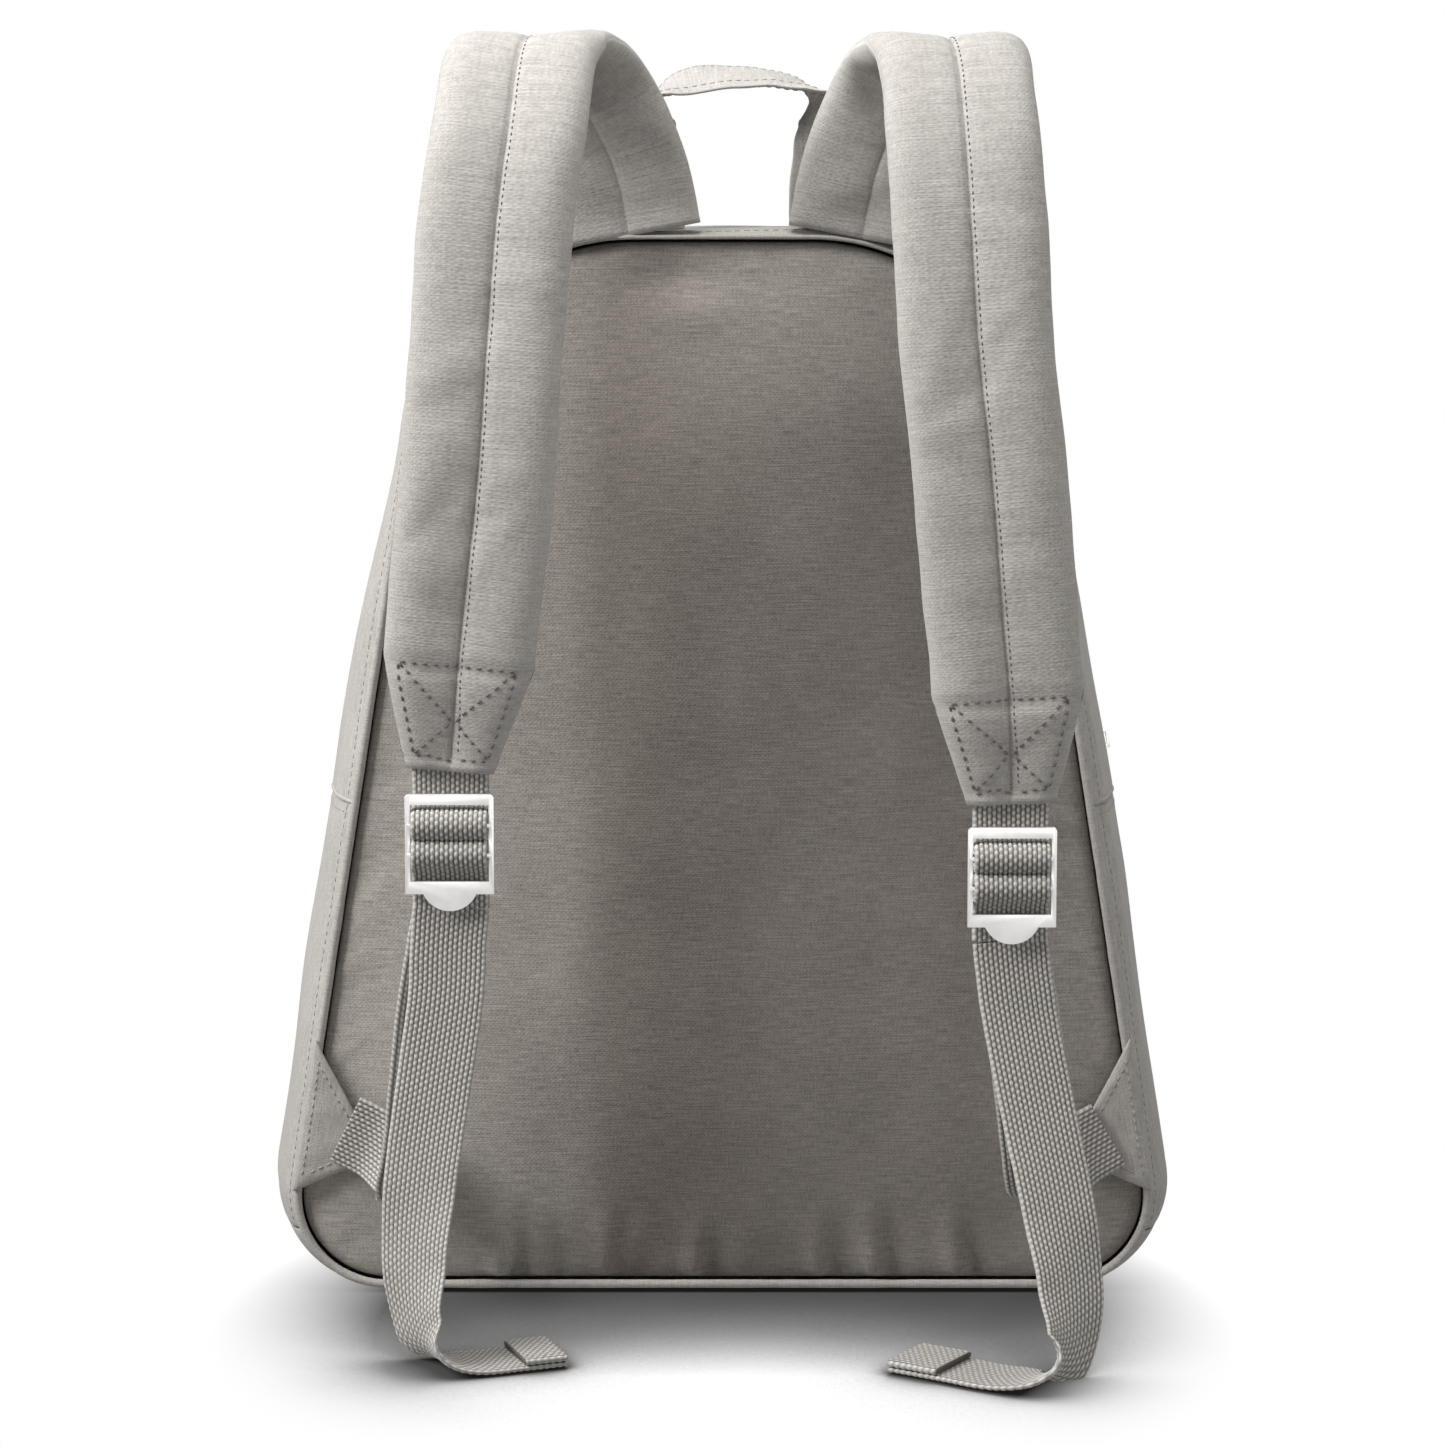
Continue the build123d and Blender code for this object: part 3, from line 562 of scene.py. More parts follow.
def girthAt(level):
    # length along the right side up to a height
    low, high = 0.10, girth / 2
    for _ in range(40):
        middle = (low + high) / 2
        if outlineAt(middle)[0].y < level:
            low = middle
        else:
            high = middle
    return low


midRight = girthAt(bag["midSeam"])
baseRight = girthAt(bag["baseTop"])
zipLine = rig.box("zip_coil_rear")[1][1]


def flareAt(z):
    return bag["flare"] * (1 - 0.75 * smooth((z - 0.19) / 0.12))


def skin(s, y, extra=0.0):
    # the side walls: rolled in at both seams, fullest at the zip
    point, normal = outlineAt(s)
    share = (y - bag["backY"]) / (bag["frontY"] - bag["backY"])
    depth = min(share, 1 - share) * (bag["frontY"] - bag["backY"])
    edge = smooth(depth / bag["edgeRoll"])
    full = math.sin(min(max(share, 0) / 0.40, 1) * math.pi / 2)
    side = min(max(point.x / 0.09, -1), 1)
    calm = 1 - lump(y, zipLine, 0.016)
    sag = edge * calm * smooth((point.y - 0.012) / 0.03)
    fold = bag["wrinkle"] * rough(s * 16, y * 26, 4.0) * 1.6
    fold += 0.0010 * rough(s * 7, y * 60, 9.0)
    crease = abs(normal.x) * lump(point.y, bag["midSeam"] - 0.012, 0.010)
    fold += 0.0018 * crease * rough(s * 3, y * 45, 2.0)
    grow = 0.0006 + 0.0034 * edge + fold * sag + extra
    swell = 0.0022 * abs(normal.x) * math.sin(min(max(share, 0), 1) * math.pi) * calm * edge
    x = point.x + normal.x * (grow + swell) + flareAt(point.y) * full * side
    z = point.y + normal.y * grow
    return Vector((x, y, max(z, 0.0001)))


def bandPiece(name, material, s0, s1, y0, y1, extra=0.0, step=0.004, thickness=0.0012, levels=1):
    across = max(2, int((s1 - s0) / step))
    along = max(2, int((y1 - y0) / step))

    def place(u, v):
        return skin(s0 + (s1 - s0) * u, y0 + (y1 - y0) * v, extra)

    piece = gridPiece(name, material, across, along, place, (s1 - s0, y1 - y0), flip=True)
    return thicken(piece, thickness, levels)


def declareBand(piece, node, body, slot, s0, s1, y0, y1):
    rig.replaces(piece, *node)
    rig.ride(piece, body)
    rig.slot(piece, slot)
    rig.sheet(piece, flat=(abs(y1 - y0), abs(s1 - s0)), held="stretched")


seamY = bag["backY"] + 0.0012
wallFront = bag["frontY"] - 0.001
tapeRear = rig.box("zip_tape_rear")[0][1]
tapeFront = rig.box("zip_tape_front")[1][1]

for label, s0, s1 in (
    ("right", baseRight, midRight),
    ("left", girth - midRight, girth - baseRight),
):
    wall = bandPiece(f"sideGusset_{label}", bodyCanvas, s0, s1, seamY, wallFront)
    declareBand(wall, [f"side_gusset_{label}"], "pack", "canvas", s0, s1, seamY, wallFront)

base = bandPiece("baseSkin", bodyCanvas, -baseRight, baseRight, seamY, wallFront)
declareBand(base, ["base_panel"], "pack", "canvas", -baseRight, baseRight, seamY, wallFront)

tapeSpan = (midRight, girth - midRight)
zipRear = bandPiece("zipGussetRear", bodyCanvas, *tapeSpan, seamY, tapeRear + 0.001, 0.0004)
declareBand(zipRear, ["zip_gusset_rear"], "pack", "canvas", *tapeSpan, seamY, tapeRear)

tape = bandPiece("zipTapeRear", tapeWeave, *tapeSpan, tapeRear, zipLine, -0.0006, 0.0028, 0.0008)
declareBand(tape, ["zip_tape_rear"], "pack", "zip_tape", *tapeSpan, tapeRear, zipLine)
print("side walls done")

# back panel: a pad cut to the outline, swelled by cloth pressure, then gathered at its foot
panel = {
    "front": 0.0012,
    "thick": 0.0090,
    "inset": 0.0006,
    "around": 120,
    "rings": 12,
    "fineAround": 420,
    "fineRings": 84,
    "pressure": 4.0,
    "cap": 0.0060,
    "crown": 0.0040,
    # places across the foot where the fabric is gathered: x, lean, depth, width, height
    "gathers": (
        (-0.078, 0.10, 0.0018, 0.0032, 0.036),
        (-0.064, -0.05, 0.0014, 0.0026, 0.028),
        (-0.041, 0.02, 0.0013, 0.0030, 0.034),
        (-0.034, 0.08, 0.0009, 0.0022, 0.022),
        (-0.010, 0.06, 0.0014, 0.0026, 0.028),
        (0.034, -0.04, 0.0014, 0.0030, 0.032),
        (0.054, -0.10, 0.0018, 0.0034, 0.038),
        (0.083, -0.12, 0.0016, 0.0032, 0.034),
    ),
}
padCentre = Vector((0.0, (bag["footZ"] + bag["headZ"]) / 2))


def padSpot(u, v, fine):
    # u goes round the outline; v goes out over the face and back over the lining
    point, normal = outlineAt(u * girth)
    turn = 1 - abs(2 * v - 1)
    reach = max(1 - (1 - turn) ** 1.5, 0.004)
    arm = point - normal * panel["inset"] - padCentre
    spot = padCentre + arm * reach
    half = panel["thick"] / 2 * max(1 - reach ** 14, 0) ** 0.5
    middle = bag["backY"] + panel["front"] + panel["thick"] / 2
    if v >= 0.5:
        return Vector((spot.x, middle + half, spot.y))
    y = middle - half
    if fine:
        near = (1 - reach) * max(arm.dot(normal), 0.01)
        hold = smooth(near / 0.018)
        up = spot.y - bag["footZ"]
        level = (spot.y - padCentre.y) / (bag["headZ"] - padCentre.y)
        beside = spot.x / (bag["footHalf"] - bag["taper"] * up)
        y -= panel["crown"] * (max(1 - beside ** 2, 0) * max(1 - level ** 4, 0)) ** 0.7
        for at, lean, deep, wide, tall in panel["gathers"]:
            if up < tall:
                beat = spot.x - lean * up
                dip = lump(beat, at, wide + up * 0.07) - 0.8 * lump(beat, at + 0.006, 0.004)
                y -= 2.0 * deep * dip * (1 - smooth(up / tall)) * smooth(up / 0.003)
        y += 0.0022 * lump(spot.x, -0.016, 0.012) * lump(spot.y, bag["headZ"] - 0.012, 0.008)
        y -= 0.0012 * lump(spot.x, -0.010, 0.020) * lump(spot.y, bag["headZ"] - 0.024, 0.007)
        y += 0.0016 * rough(spot.x * 16, spot.y * 11, 1.5) * hold
        y += 0.0006 * rough(spot.x * 48, spot.y * 30, 5.5) * hold
        y += 0.0007 * rough(u * 130, 0.5 + near * 30, 2.5) * lump(near, 0.008, 0.008)
    return Vector((spot.x, y, spot.y))


swellFrames = 20


def swellGrid(spot, rows, cols, pressure, cap, pins, endCaps):
    # inflates a coarse closed blank as cloth and returns how far each of its points moved
    moved = [[Vector() for _ in range(cols + 1)] for _ in range(rows)]
    if not simulate:
        return moved
    bm = bmesh.new()
    grid = [[bm.verts.new(spot(i / rows, j / cols)) for j in range(cols + 1)] for i in range(rows)]
    for i in range(rows):
        here, ahead = grid[i], grid[(i + 1) % rows]
        for j in range(cols):
            bm.faces.new((here[j], here[j + 1], ahead[j + 1], ahead[j]))
    for j in endCaps:
        bm.faces.new([grid[i][j] for i in range(rows)])
    bmesh.ops.recalc_face_normals(bm, faces=bm.faces)
    blank = newPiece("blank", bm, bodyCanvas)
    group = blank.vertex_groups.new(name="pins")
    held = [i * (cols + 1) + j for i in range(rows) for j in range(cols + 1) if pins(i, j)]
    group.add(held, 1.0, "REPLACE")
    before = [vert.co.copy() for vert in blank.data.vertices]
    cloth = blank.modifiers.new("cloth", "CLOTH")
    cloth.settings.vertex_group_mass = "pins"
    cloth.settings.use_pressure = True
    cloth.settings.uniform_pressure_force = pressure
    cloth.settings.effector_weights.gravity = 0
    cloth.settings.quality = 4
    cloth.point_cache.frame_start = 1
    cloth.point_cache.frame_end = swellFrames
    for number in range(1, swellFrames + 1):
        bpy.context.scene.frame_set(number)
    graph = bpy.context.evaluated_depsgraph_get()
    after = [vert.co.copy() for vert in blank.evaluated_get(graph).data.vertices]
    bpy.context.scene.frame_set(1)
    for i in range(rows):
        for j in range(cols + 1):
            k = i * (cols + 1) + j
            move = after[k] - before[k]
            moved[i][j] = move * (cap / max(move.length, cap))
    bpy.data.objects.remove(blank)
    return moved


def lookUp(moved, u, v):
    rows, cols = len(moved), len(moved[0]) - 1
    a, b = (u * rows) % rows, min(v * cols, cols - 1e-6)
    i, j = int(a), int(b)
    low = moved[i][j].lerp(moved[(i + 1) % rows][j], a - i)
    high = moved[i][j + 1].lerp(moved[(i + 1) % rows][j + 1], a - i)
    return low.lerp(high, b - j)


def padPlace(u, v):
    return padSpot(u % 1.0, v, True) + lookUp(padMoved, u % 1.0, v)


def panelPaintedLight(u, v):
    # painted light: the canvas is painted paler beside the straps and under the loop, where light falls, and left in
    # painted shade between the straps
    spot = padSpot(u % 1.0, v, False)
    x = spot.x + 0.004 * rough(spot.x * 20, spot.z * 9, 3.0)
    pale = 0.46 * smooth((-0.036 - x) / 0.022) + 0.40 * smooth((-0.060 - x) / 0.050)
    pale += 0.28 * smooth((x + 0.030) / 0.070) + 0.30 * smooth((x - 0.085) / 0.035)
    pale += 0.42 * smooth((spot.z - 0.285) / 0.060) * (0.4 + 0.6 * smooth((x + 0.030) / 0.030))
    return 0.85 * min(pale, 1.0)


padMoved = swellGrid(
    lambda u, v: padSpot(u, v, False), panel["around"], 2 * panel["rings"], panel["pressure"],
    panel["cap"], lambda i, j: j in (panel["rings"] - 1, panel["rings"]) or j > panel["rings"] + 1,
    (0, 2 * panel["rings"]),
)
# the back panel carries the painted light mark: paler where light falls, darker in the painted shade between the straps
backPanel = gridPiece(
    "backPanel", panelCanvas, panel["fineAround"], panel["fineRings"], padPlace, (1, 1),
    wrap=True, caps=True, marks={"fade": panelPaintedLight},
)
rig.replaces(backPanel, "back_panel", "back_foam", "back_lining")
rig.ride(backPanel, "pack")
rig.slot(backPanel, "canvas")
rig.padded(backPanel, fill=0.7)
print("back panel done")


# rolled seam allowance between the pad and the side walls
roll = {"radius": 0.0015, "grow": 0.0010, "inset": 0.0016, "around": 8, "count": 360}


def rollPlace(u, v):
    s = girth * v
    point, normal = outlineAt(s)
    angle = 2 * math.pi * u
    fat = roll["radius"] * (1 + 0.12 * rough(s * 90, 3.0)) * (1 - 0.5 * smooth((point.y - 0.345) / 0.015))
    spot = point + normal * (roll["grow"] + fat * math.cos(angle))
    y = bag["backY"] + roll["inset"] + fat * math.sin(angle)
    return Vector((spot.x, y, max(spot.y, 0.0001)))


rollSize = (roll["radius"] * 6.3, girth)
seamRoll = gridPiece("seamRoll", bodyCanvas, roll["around"], roll["count"], rollPlace, rollSize, wrap=True)
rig.replaces(seamRoll, "back_welt")
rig.ride(seamRoll, "pack")
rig.slot(seamRoll, "canvas")


# front: two fans meeting at the middle seam, gently crowned
front = {"crown": 0.0050, "rim": 0.0022, "thick": 0.0014, "around": 180, "rings": 30}


def frontFan(name, s0, s1):
    pole = Vector((0.0, bag["midSeam"]))

    def place(u, v):
        point, normal = outlineAt(s0 + (s1 - s0) * u)
        grown = point + normal * 0.0036
        grown.x += flareAt(point.y) * 0.92 * min(max(point.x / 0.09, -1), 1)
        if u < 1e-6 or u > 1 - 1e-6:
            grown.y = bag["midSeam"]
        spot = pole + (grown - pole) * v
        near = smooth((1 - v) * (grown - pole).length / 0.09)
        edge = smooth((1 - v) * (grown - pole).length / 0.006)
        y = bag["frontY"] - front["rim"] * (1 - edge) + front["crown"] * near
        y += 0.0014 * rough(spot.x * 15, spot.y * 15, 7.0) * near
        y += 0.0006 * rough(spot.x * 45, spot.y * 40, 2.0) * near
        return Vector((spot.x, y, max(spot.y, 0.0001)))

    piece = gridPiece(name, faceCanvas, front["around"], front["rings"], place, (s1 - s0, 0.2), flip=True)
    bm = bmesh.new()
    bm.from_mesh(piece.data)
    bmesh.ops.remove_doubles(bm, verts=bm.verts, dist=1e-5)
    bm.to_mesh(piece.data)
    bm.free()
    return thicken(piece, front["thick"])


frontLower = frontFan("frontLower", -midRight, midRight)
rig.replaces(frontLower, "front_panel_lower")
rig.ride(frontLower, "pack")
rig.slot(frontLower, "canvas")
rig.sheet(frontLower, flat=(0.290, 0.168), held="stretched", area=0.0485)

frontUpper = frontFan("frontUpper", *tapeSpan)
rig.replaces(frontUpper, "front_panel_upper")
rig.slot(frontUpper, "canvas")
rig.sheet(frontUpper, flat=(0.265, 0.196), held="stretched", area=0.0455)
hingeLine = Vector((0.0, bag["frontY"], bag["midSeam"]))
flapBend = {"start": tuple(hingeLine), "end": tuple(hingeLine + Vector((0, 0, 0.016)))}
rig.blend(frontUpper, "pack", "flap", **flapBend)

zipFront = bandPiece("zipGussetFront", bodyCanvas, *tapeSpan, tapeFront - 0.001, wallFront, 0.0004)
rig.replaces(zipFront, "zip_gusset_front")
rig.slot(zipFront, "canvas")
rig.sheet(zipFront, flat=(wallFront - tapeFront, tapeSpan[1] - tapeSpan[0]), held="stretched")
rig.blend(zipFront, "pack", "flap", **flapBend)

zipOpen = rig.box("zip_tape_front")[0][2]
openRight = girthAt(zipOpen)
openSpan = (openRight, girth - openRight)
frontTape = bandPiece("zipTapeFront", tapeWeave, *openSpan, zipLine, tapeFront, -0.0006, 0.0028, 0.0008)
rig.replaces(frontTape, "zip_tape_front")
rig.ride(frontTape, "flap")
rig.slot(frontTape, "zip_tape")
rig.sheet(frontTape, flat=(tapeFront - zipLine, openSpan[1] - openSpan[0]), held="stretched")

zipEnds = (("right", midRight, openRight), ("left", girth - openRight, girth - midRight))
for label, s0, s1 in zipEnds:
    end = bandPiece(f"zipEnd_{label}", tapeWeave, s0, s1, zipLine, tapeFront, -0.0006, 0.0028, 0.0008)
    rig.replaces(end, f"zip_end_{label}")
    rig.ride(end, "pack")
    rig.slot(end, "zip_tape")
    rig.sheet(end, flat=(tapeFront - zipLine, s1 - s0), held="stretched")


# zip coils: a ridged strip on each side of the zip's line
coil = {"pitch": 0.0015, "width": 0.0022, "rise": 0.0013}


def coilStrip(name, s0, s1, y0, y1, phase):
    along = int((s1 - s0) / coil["pitch"]) * 4

    def place(u, v):
        s = s0 + (s1 - s0) * u
        turn = math.sin(2 * math.pi * (s / coil["pitch"] + phase))
        arch = math.sin(math.pi * v)
        rise = coil["rise"] * (0.25 + 0.75 * arch) * (0.72 + 0.28 * turn) if 0 < v < 1 else -0.0004
        return skin(s, y0 + (y1 - y0) * v, -0.0006 + rise)

    return gridPiece(name, coilNylon, along, 6, place, (s1 - s0, y1 - y0), flip=True)


coilRear = coilStrip("coilRear", *tapeSpan, zipLine - coil["width"], zipLine, 0.0)
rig.replaces(coilRear, "zip_coil_rear")
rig.ride(coilRear, "pack")
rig.slot(coilRear, "zip_coil")
coilFront = coilStrip("coilFront", *openSpan, zipLine, zipLine + coil["width"], 0.5)
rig.replaces(coilFront, "zip_coil_front")
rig.ride(coilFront, "flap")
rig.slot(coilFront, "zip_coil")
for label, s0, s1 in zipEnds:
    end = coilStrip(f"coilEnd_{label}", s0, s1, zipLine, zipLine + coil["width"], 0.5)
    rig.ride(end, "pack")
    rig.slot(end, "zip_coil")
print("front and zip done")


# hard parts keep their solids' shape, with softened edges
def polished(name, node, body, material, slot, radius):
    source = next(thing for thing in bpy.data.objects if thing.name == node)
    bm = bmesh.new()
    bm.from_mesh(source.data)
    bmesh.ops.remove_doubles(bm, verts=bm.verts, dist=1e-6)
    bmesh.ops.dissolve_limit(bm, angle_limit=0.02, verts=bm.verts, edges=bm.edges)
    piece = newPiece(name, bm, material)
    edge = piece.modifiers.new("edge", "BEVEL")
    edge.width = radius
    edge.segments = 2
    edge.limit_method = "ANGLE"
    edge.angle_limit = 0.6
    edge.harden_normals = False
    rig.replaces(piece, node)
    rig.ride(piece, body)
    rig.slot(piece, slot)
    return piece


# routes: smooth curves through given points, measured along their length
class Route:
    def __init__(self, points, across, turns=24):
        points = [Vector(p) * mm for p in points]
        across = [Vector(a) for a in across]
        self.spots, self.wide, self.lengths = [], [], [0.0]
        last = len(points) - 1
        for k in range(last):
            p0, p1, p2, p3 = (points[min(max(k + j, 0), last)] for j in (-1, 0, 1, 2))
            for j in range(turns + (k == last - 1)):
                t = j / turns
                spot = 0.5 * (2 * p1 + (p2 - p0) * t + (2 * p0 - 5 * p1 + 4 * p2 - p3) * t * t
                              + (3 * p1 - p0 - 3 * p2 + p3) * t ** 3)
                self.spots.append(spot)
                self.wide.append(across[k].lerp(across[k + 1], smooth(t)))
        for a, b in zip(self.spots, self.spots[1:]):
            self.lengths.append(self.lengths[-1] + (b - a).length)
        self.length = self.lengths[-1]

    def at(self, s):
        # place, way along, way across and way out of the face
        s = min(max(s, 0.0), self.length - 1e-7)
        k = max(1, min(bisect.bisect_right(self.lengths, s), len(self.spots) - 1))
        t = (s - self.lengths[k - 1]) / (self.lengths[k] - self.lengths[k - 1])
        spot = self.spots[k - 1].lerp(self.spots[k], t)
        before, after = self.spots[max(k - 3, 0)], self.spots[min(k + 2, len(self.spots) - 1)]
        along = (after - before).normalized()
        wide = self.wide[k - 1].lerp(self.wide[k], t)
        wide = (wide - along * wide.dot(along)).normalized()
        return spot, along, wide, along.cross(wide)


# stitches: short stretched beads laid on a surface
class Stitches:
    def __init__(self, name, surface, material):
        self.name, self.material = name, material
        self.bm = bmesh.new()
        self.tree = BVHTree.FromBMesh(finishedMesh(surface))

    def run(self, path, pitch, length, fat, sunk):
        path = [Vector(p) for p in path]
        gaps = [(b - a).length for a, b in zip(path, path[1:])]
        total = sum(gaps)
        count = max(1, int(total / pitch))
        for number in range(count):
            want = (number + 0.5) * total / count
            k = 0
            while k < len(gaps) - 1 and want > gaps[k]:
                want -= gaps[k]
                k += 1
            guess = path[k].lerp(path[k + 1], want / max(gaps[k], 1e-9))
            spot, normal, _, _ = self.tree.find_nearest(guess)
            if spot is None:
                continue
            way = (path[k + 1] - path[k]).normalized()
            way = (way - normal * way.dot(normal)).normalized()
            turn = Matrix((way, normal.cross(way), normal)).transposed().to_4x4()
            size = Matrix.Diagonal((length / 2, fat / 2, fat / 2, 1))
            place = Matrix.Translation(spot + normal * fat * (0.5 - sunk)) @ turn @ size
            bmesh.ops.create_icosphere(self.bm, subdivisions=1, radius=1.0, matrix=place)

    def done(self, body=None, blend=None):
        piece = newPiece(self.name, self.bm, self.material)
        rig.slot(piece, "canvas")
        if blend:
            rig.blend(piece, *blend[0], start=blend[1], end=blend[2])
        else:
            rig.ride(piece, body)


def finishedMesh(piece):
    graph = bpy.context.evaluated_depsgraph_get()
    bm = bmesh.new()
    bm.from_mesh(piece.evaluated_get(graph).data)
    return bm


# shoulder straps: a padded tube with a sewn centre line, swelled as cloth then finely meshed
strap = {
    "width": 0.050,
    "tip": 0.029,
    "thick": 0.0108,
    "skirt": 0.036,
    "valley": 0.0009,
    "valleyWidth": 0.0036,
    "groove": 0.0011,
    "grooveWidth": 0.0007,
    "around": 20,
    "cell": 0.0045,
    "fineAround": 192,
    "fineCell": 0.0022,
    "pressure": 4.0,
    "cap": 0.0012,
    "centrePitch": 0.0023,
    "boxPitch": 0.0034,
}
strapSides = {
    "left": {
        "x": (-32, -37, -49, -61, -66, -69, -73, -76, -79, -83, -86, -89),
        "tip": 194, "tilt": 0.05, "root": 369.3, "seed": 3.0,
    },
    "right": {
        "x": (47, 52, 62, 71.5, 75.5, 77.5, 79.5, 82, 86.5, 90.5, 93, 94.5),
        "tip": 183, "tilt": -0.08, "root": 368.5, "seed": 11.0,
    },
}


def strapRoute(side):
    tip = side["tip"]
    ys = (-57, -58, -64, -79, -97.9, -115, -123, -127, -128, -127, -126, -125)
    zs = (side["root"] - 2, 390.4, 414.7, 427.0, 424.0, 401.3, 369.3, 330.3, 290.3, tip + 62, tip + 35, tip)
    across = [(1, 0, side["tilt"])] * 2 + [(1, 0, 0)] * 10
    return Route(list(zip(side["x"], ys, zs)), across)


def strapSection(route, v, angle, seed, fine):
    # a point of the strap's skin; angle 0 to 1 goes over the outer face, then back under
    s = v * route.length
    spot, _, wide, out = route.at(s)
    left = route.length - s
    width = strap["width"] + (strap["tip"] - strap["width"]) * min(max(1 - left / strap["skirt"], 0), 1)
    thick = strap["thick"] * (0.62 + 0.38 * smooth(s / 0.030)) * (0.42 + 0.58 * smooth(left / 0.034))
    outer = angle < 0.5
    x = -math.cos(2 * math.pi * angle)
    across = math.copysign(abs(math.sin(math.pi / 2 * x)) ** 1.12, x)
    half = thick / 2 * max(1 - abs(across) ** 7, 0.0) ** 0.5
    if fine:
        middle = strap["valley"] * lump(across * width / 2, 0.0, strap["valleyWidth"])
        middle += strap["groove"] * lump(across * width / 2, 0.0, strap["grooveWidth"])
        middle += 0.0003 * lump(across * width / 2, 0.0014, 0.0006)
        pucker = 1 + 0.20 * rough(s * 260, seed)
        if outer:
            half -= middle * pucker * smooth(s / 0.012) * smooth(left / 0.006)
            half += lump(abs(across), 0.62, 0.30) * 0.0007
        else:
            half -= 0.6 * middle
        body = 1 - abs(across) ** 4
        bend = lump(s, 0.075, 0.050)
        ripple = rough(s * 62 + 4 * across * rough(s * 18, seed), across * 0.9, seed + (0 if outer else 5))
        half += body * ripple * (0.0009 if outer else 0.0010 + 0.0034 * bend)
        half += body * 0.0009 * rough(s * 20, across * 1.1, seed + 2)
        width += 0.0014 * rough(s * 22, seed + (3 if across > 0 else 8)) + 0.0008 * rough(s * 60, seed)
        if left < strap["skirt"]:
            half -= 0.0008 * lump(left, 0.034, 0.0022) + 0.0006 * lump(left, 0.0035, 0.0016)
    return spot + wide * (across * width / 2) + out * (half if outer else -half)


strapPieces = {}
strapRoutes = {}
strapStart = (0.0, -0.0500, 0.37)
strapEnd = (0.0, -0.0680, 0.37)
for label, side in strapSides.items():
    route = strapRoute(side)
    strapRoutes[label] = route
    around, cols = strap["around"], int(route.length / strap["cell"])
    moved = swellGrid(
        lambda u, v: strapSection(route, v, u % 1.0, side["seed"], False), around, cols, strap["pressure"],
        strap["cap"], lambda i, j: j < 2 or j > cols - 2 or i % (around // 4) == 0, (0, cols),
    )

    def place(u, v, route=route, moved=moved, seed=side["seed"]):
        return strapSection(route, v, u % 1.0, seed, True) + lookUp(moved, u % 1.0, v)

    # painted highlight: a pale line along the strap's edges, standing in for a raised edge catching light
    def edgeHighlight(u, v, seed=side["seed"]):
        x = abs(math.cos(2 * math.pi * u))
        return 0.75 * smooth((x - 0.955) / 0.03) * (0.7 + 0.8 * abs(rough(v * 60, seed)))

    piece = gridPiece(
        f"strap_{label}", strapCanvas, strap["fineAround"], int(route.length / strap["fineCell"]), place,
        (0.108, route.length), wrap=True, caps=True, marks={"wear": edgeHighlight},
    )
    strapPieces[label] = piece
    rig.replaces(piece, f"strap_cover_{label}", f"strap_foam_{label}")
    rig.slot(piece, "canvas")
    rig.padded(piece, fill=0.65)


def strapSpot(route, left, across):
    spot, _, wide, out = route.at(route.length - left)
    return spot + wide * across + out * 0.0045


for label, route in strapRoutes.items():
    bodies = ("pack", f"strap_{label}")
    threads = Stitches(f"strapCentreThread_{label}", strapPieces[label], darkThread)
    steps = 90
    first, span = route.length - 0.004, route.length - 0.010
    centre = [strapSpot(route, first - span * k / steps, 0.0014) for k in range(steps + 1)]
    threads.run(centre, strap["centrePitch"], 0.0014, 0.00065, 0.5)
    threads.done(blend=(bodies, strapStart, strapEnd))
    box = Stitches(f"strapBoxThread_{label}", strapPieces[label], darkThread)
    top, low = 0.0350, 0.0042
    halfTop = strap["width"] / 2 - 0.0056
    halfLow = strap["tip"] / 2 - 0.0018
    corners = [(top, -halfTop), (top, halfTop), (low, halfLow), (low, -halfLow)]
    for a, b in ((0, 1), (1, 2), (2, 3), (3, 0), (0, 2), (1, 3)):
        (la, xa), (lb, xb) = corners[a], corners[b]
        line = [strapSpot(route, la + (lb - la) * k / 8, xa + (xb - xa) * k / 8) for k in range(9)]
        box.run(line, strap["boxPitch"], 0.0022, 0.0011, 0.42)
    box.done(blend=(bodies, strapStart, strapEnd))
for label, piece in strapPieces.items():
    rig.blend(piece, "pack", f"strap_{label}", strapStart, strapEnd)
print("straps done")

# webbing: coarse basket weave cut into the mesh, with paler woven edges
web = {"width": 0.025, "thick": 0.0018, "columns": 16, "row": 0.0022, "grain": 0.00065}


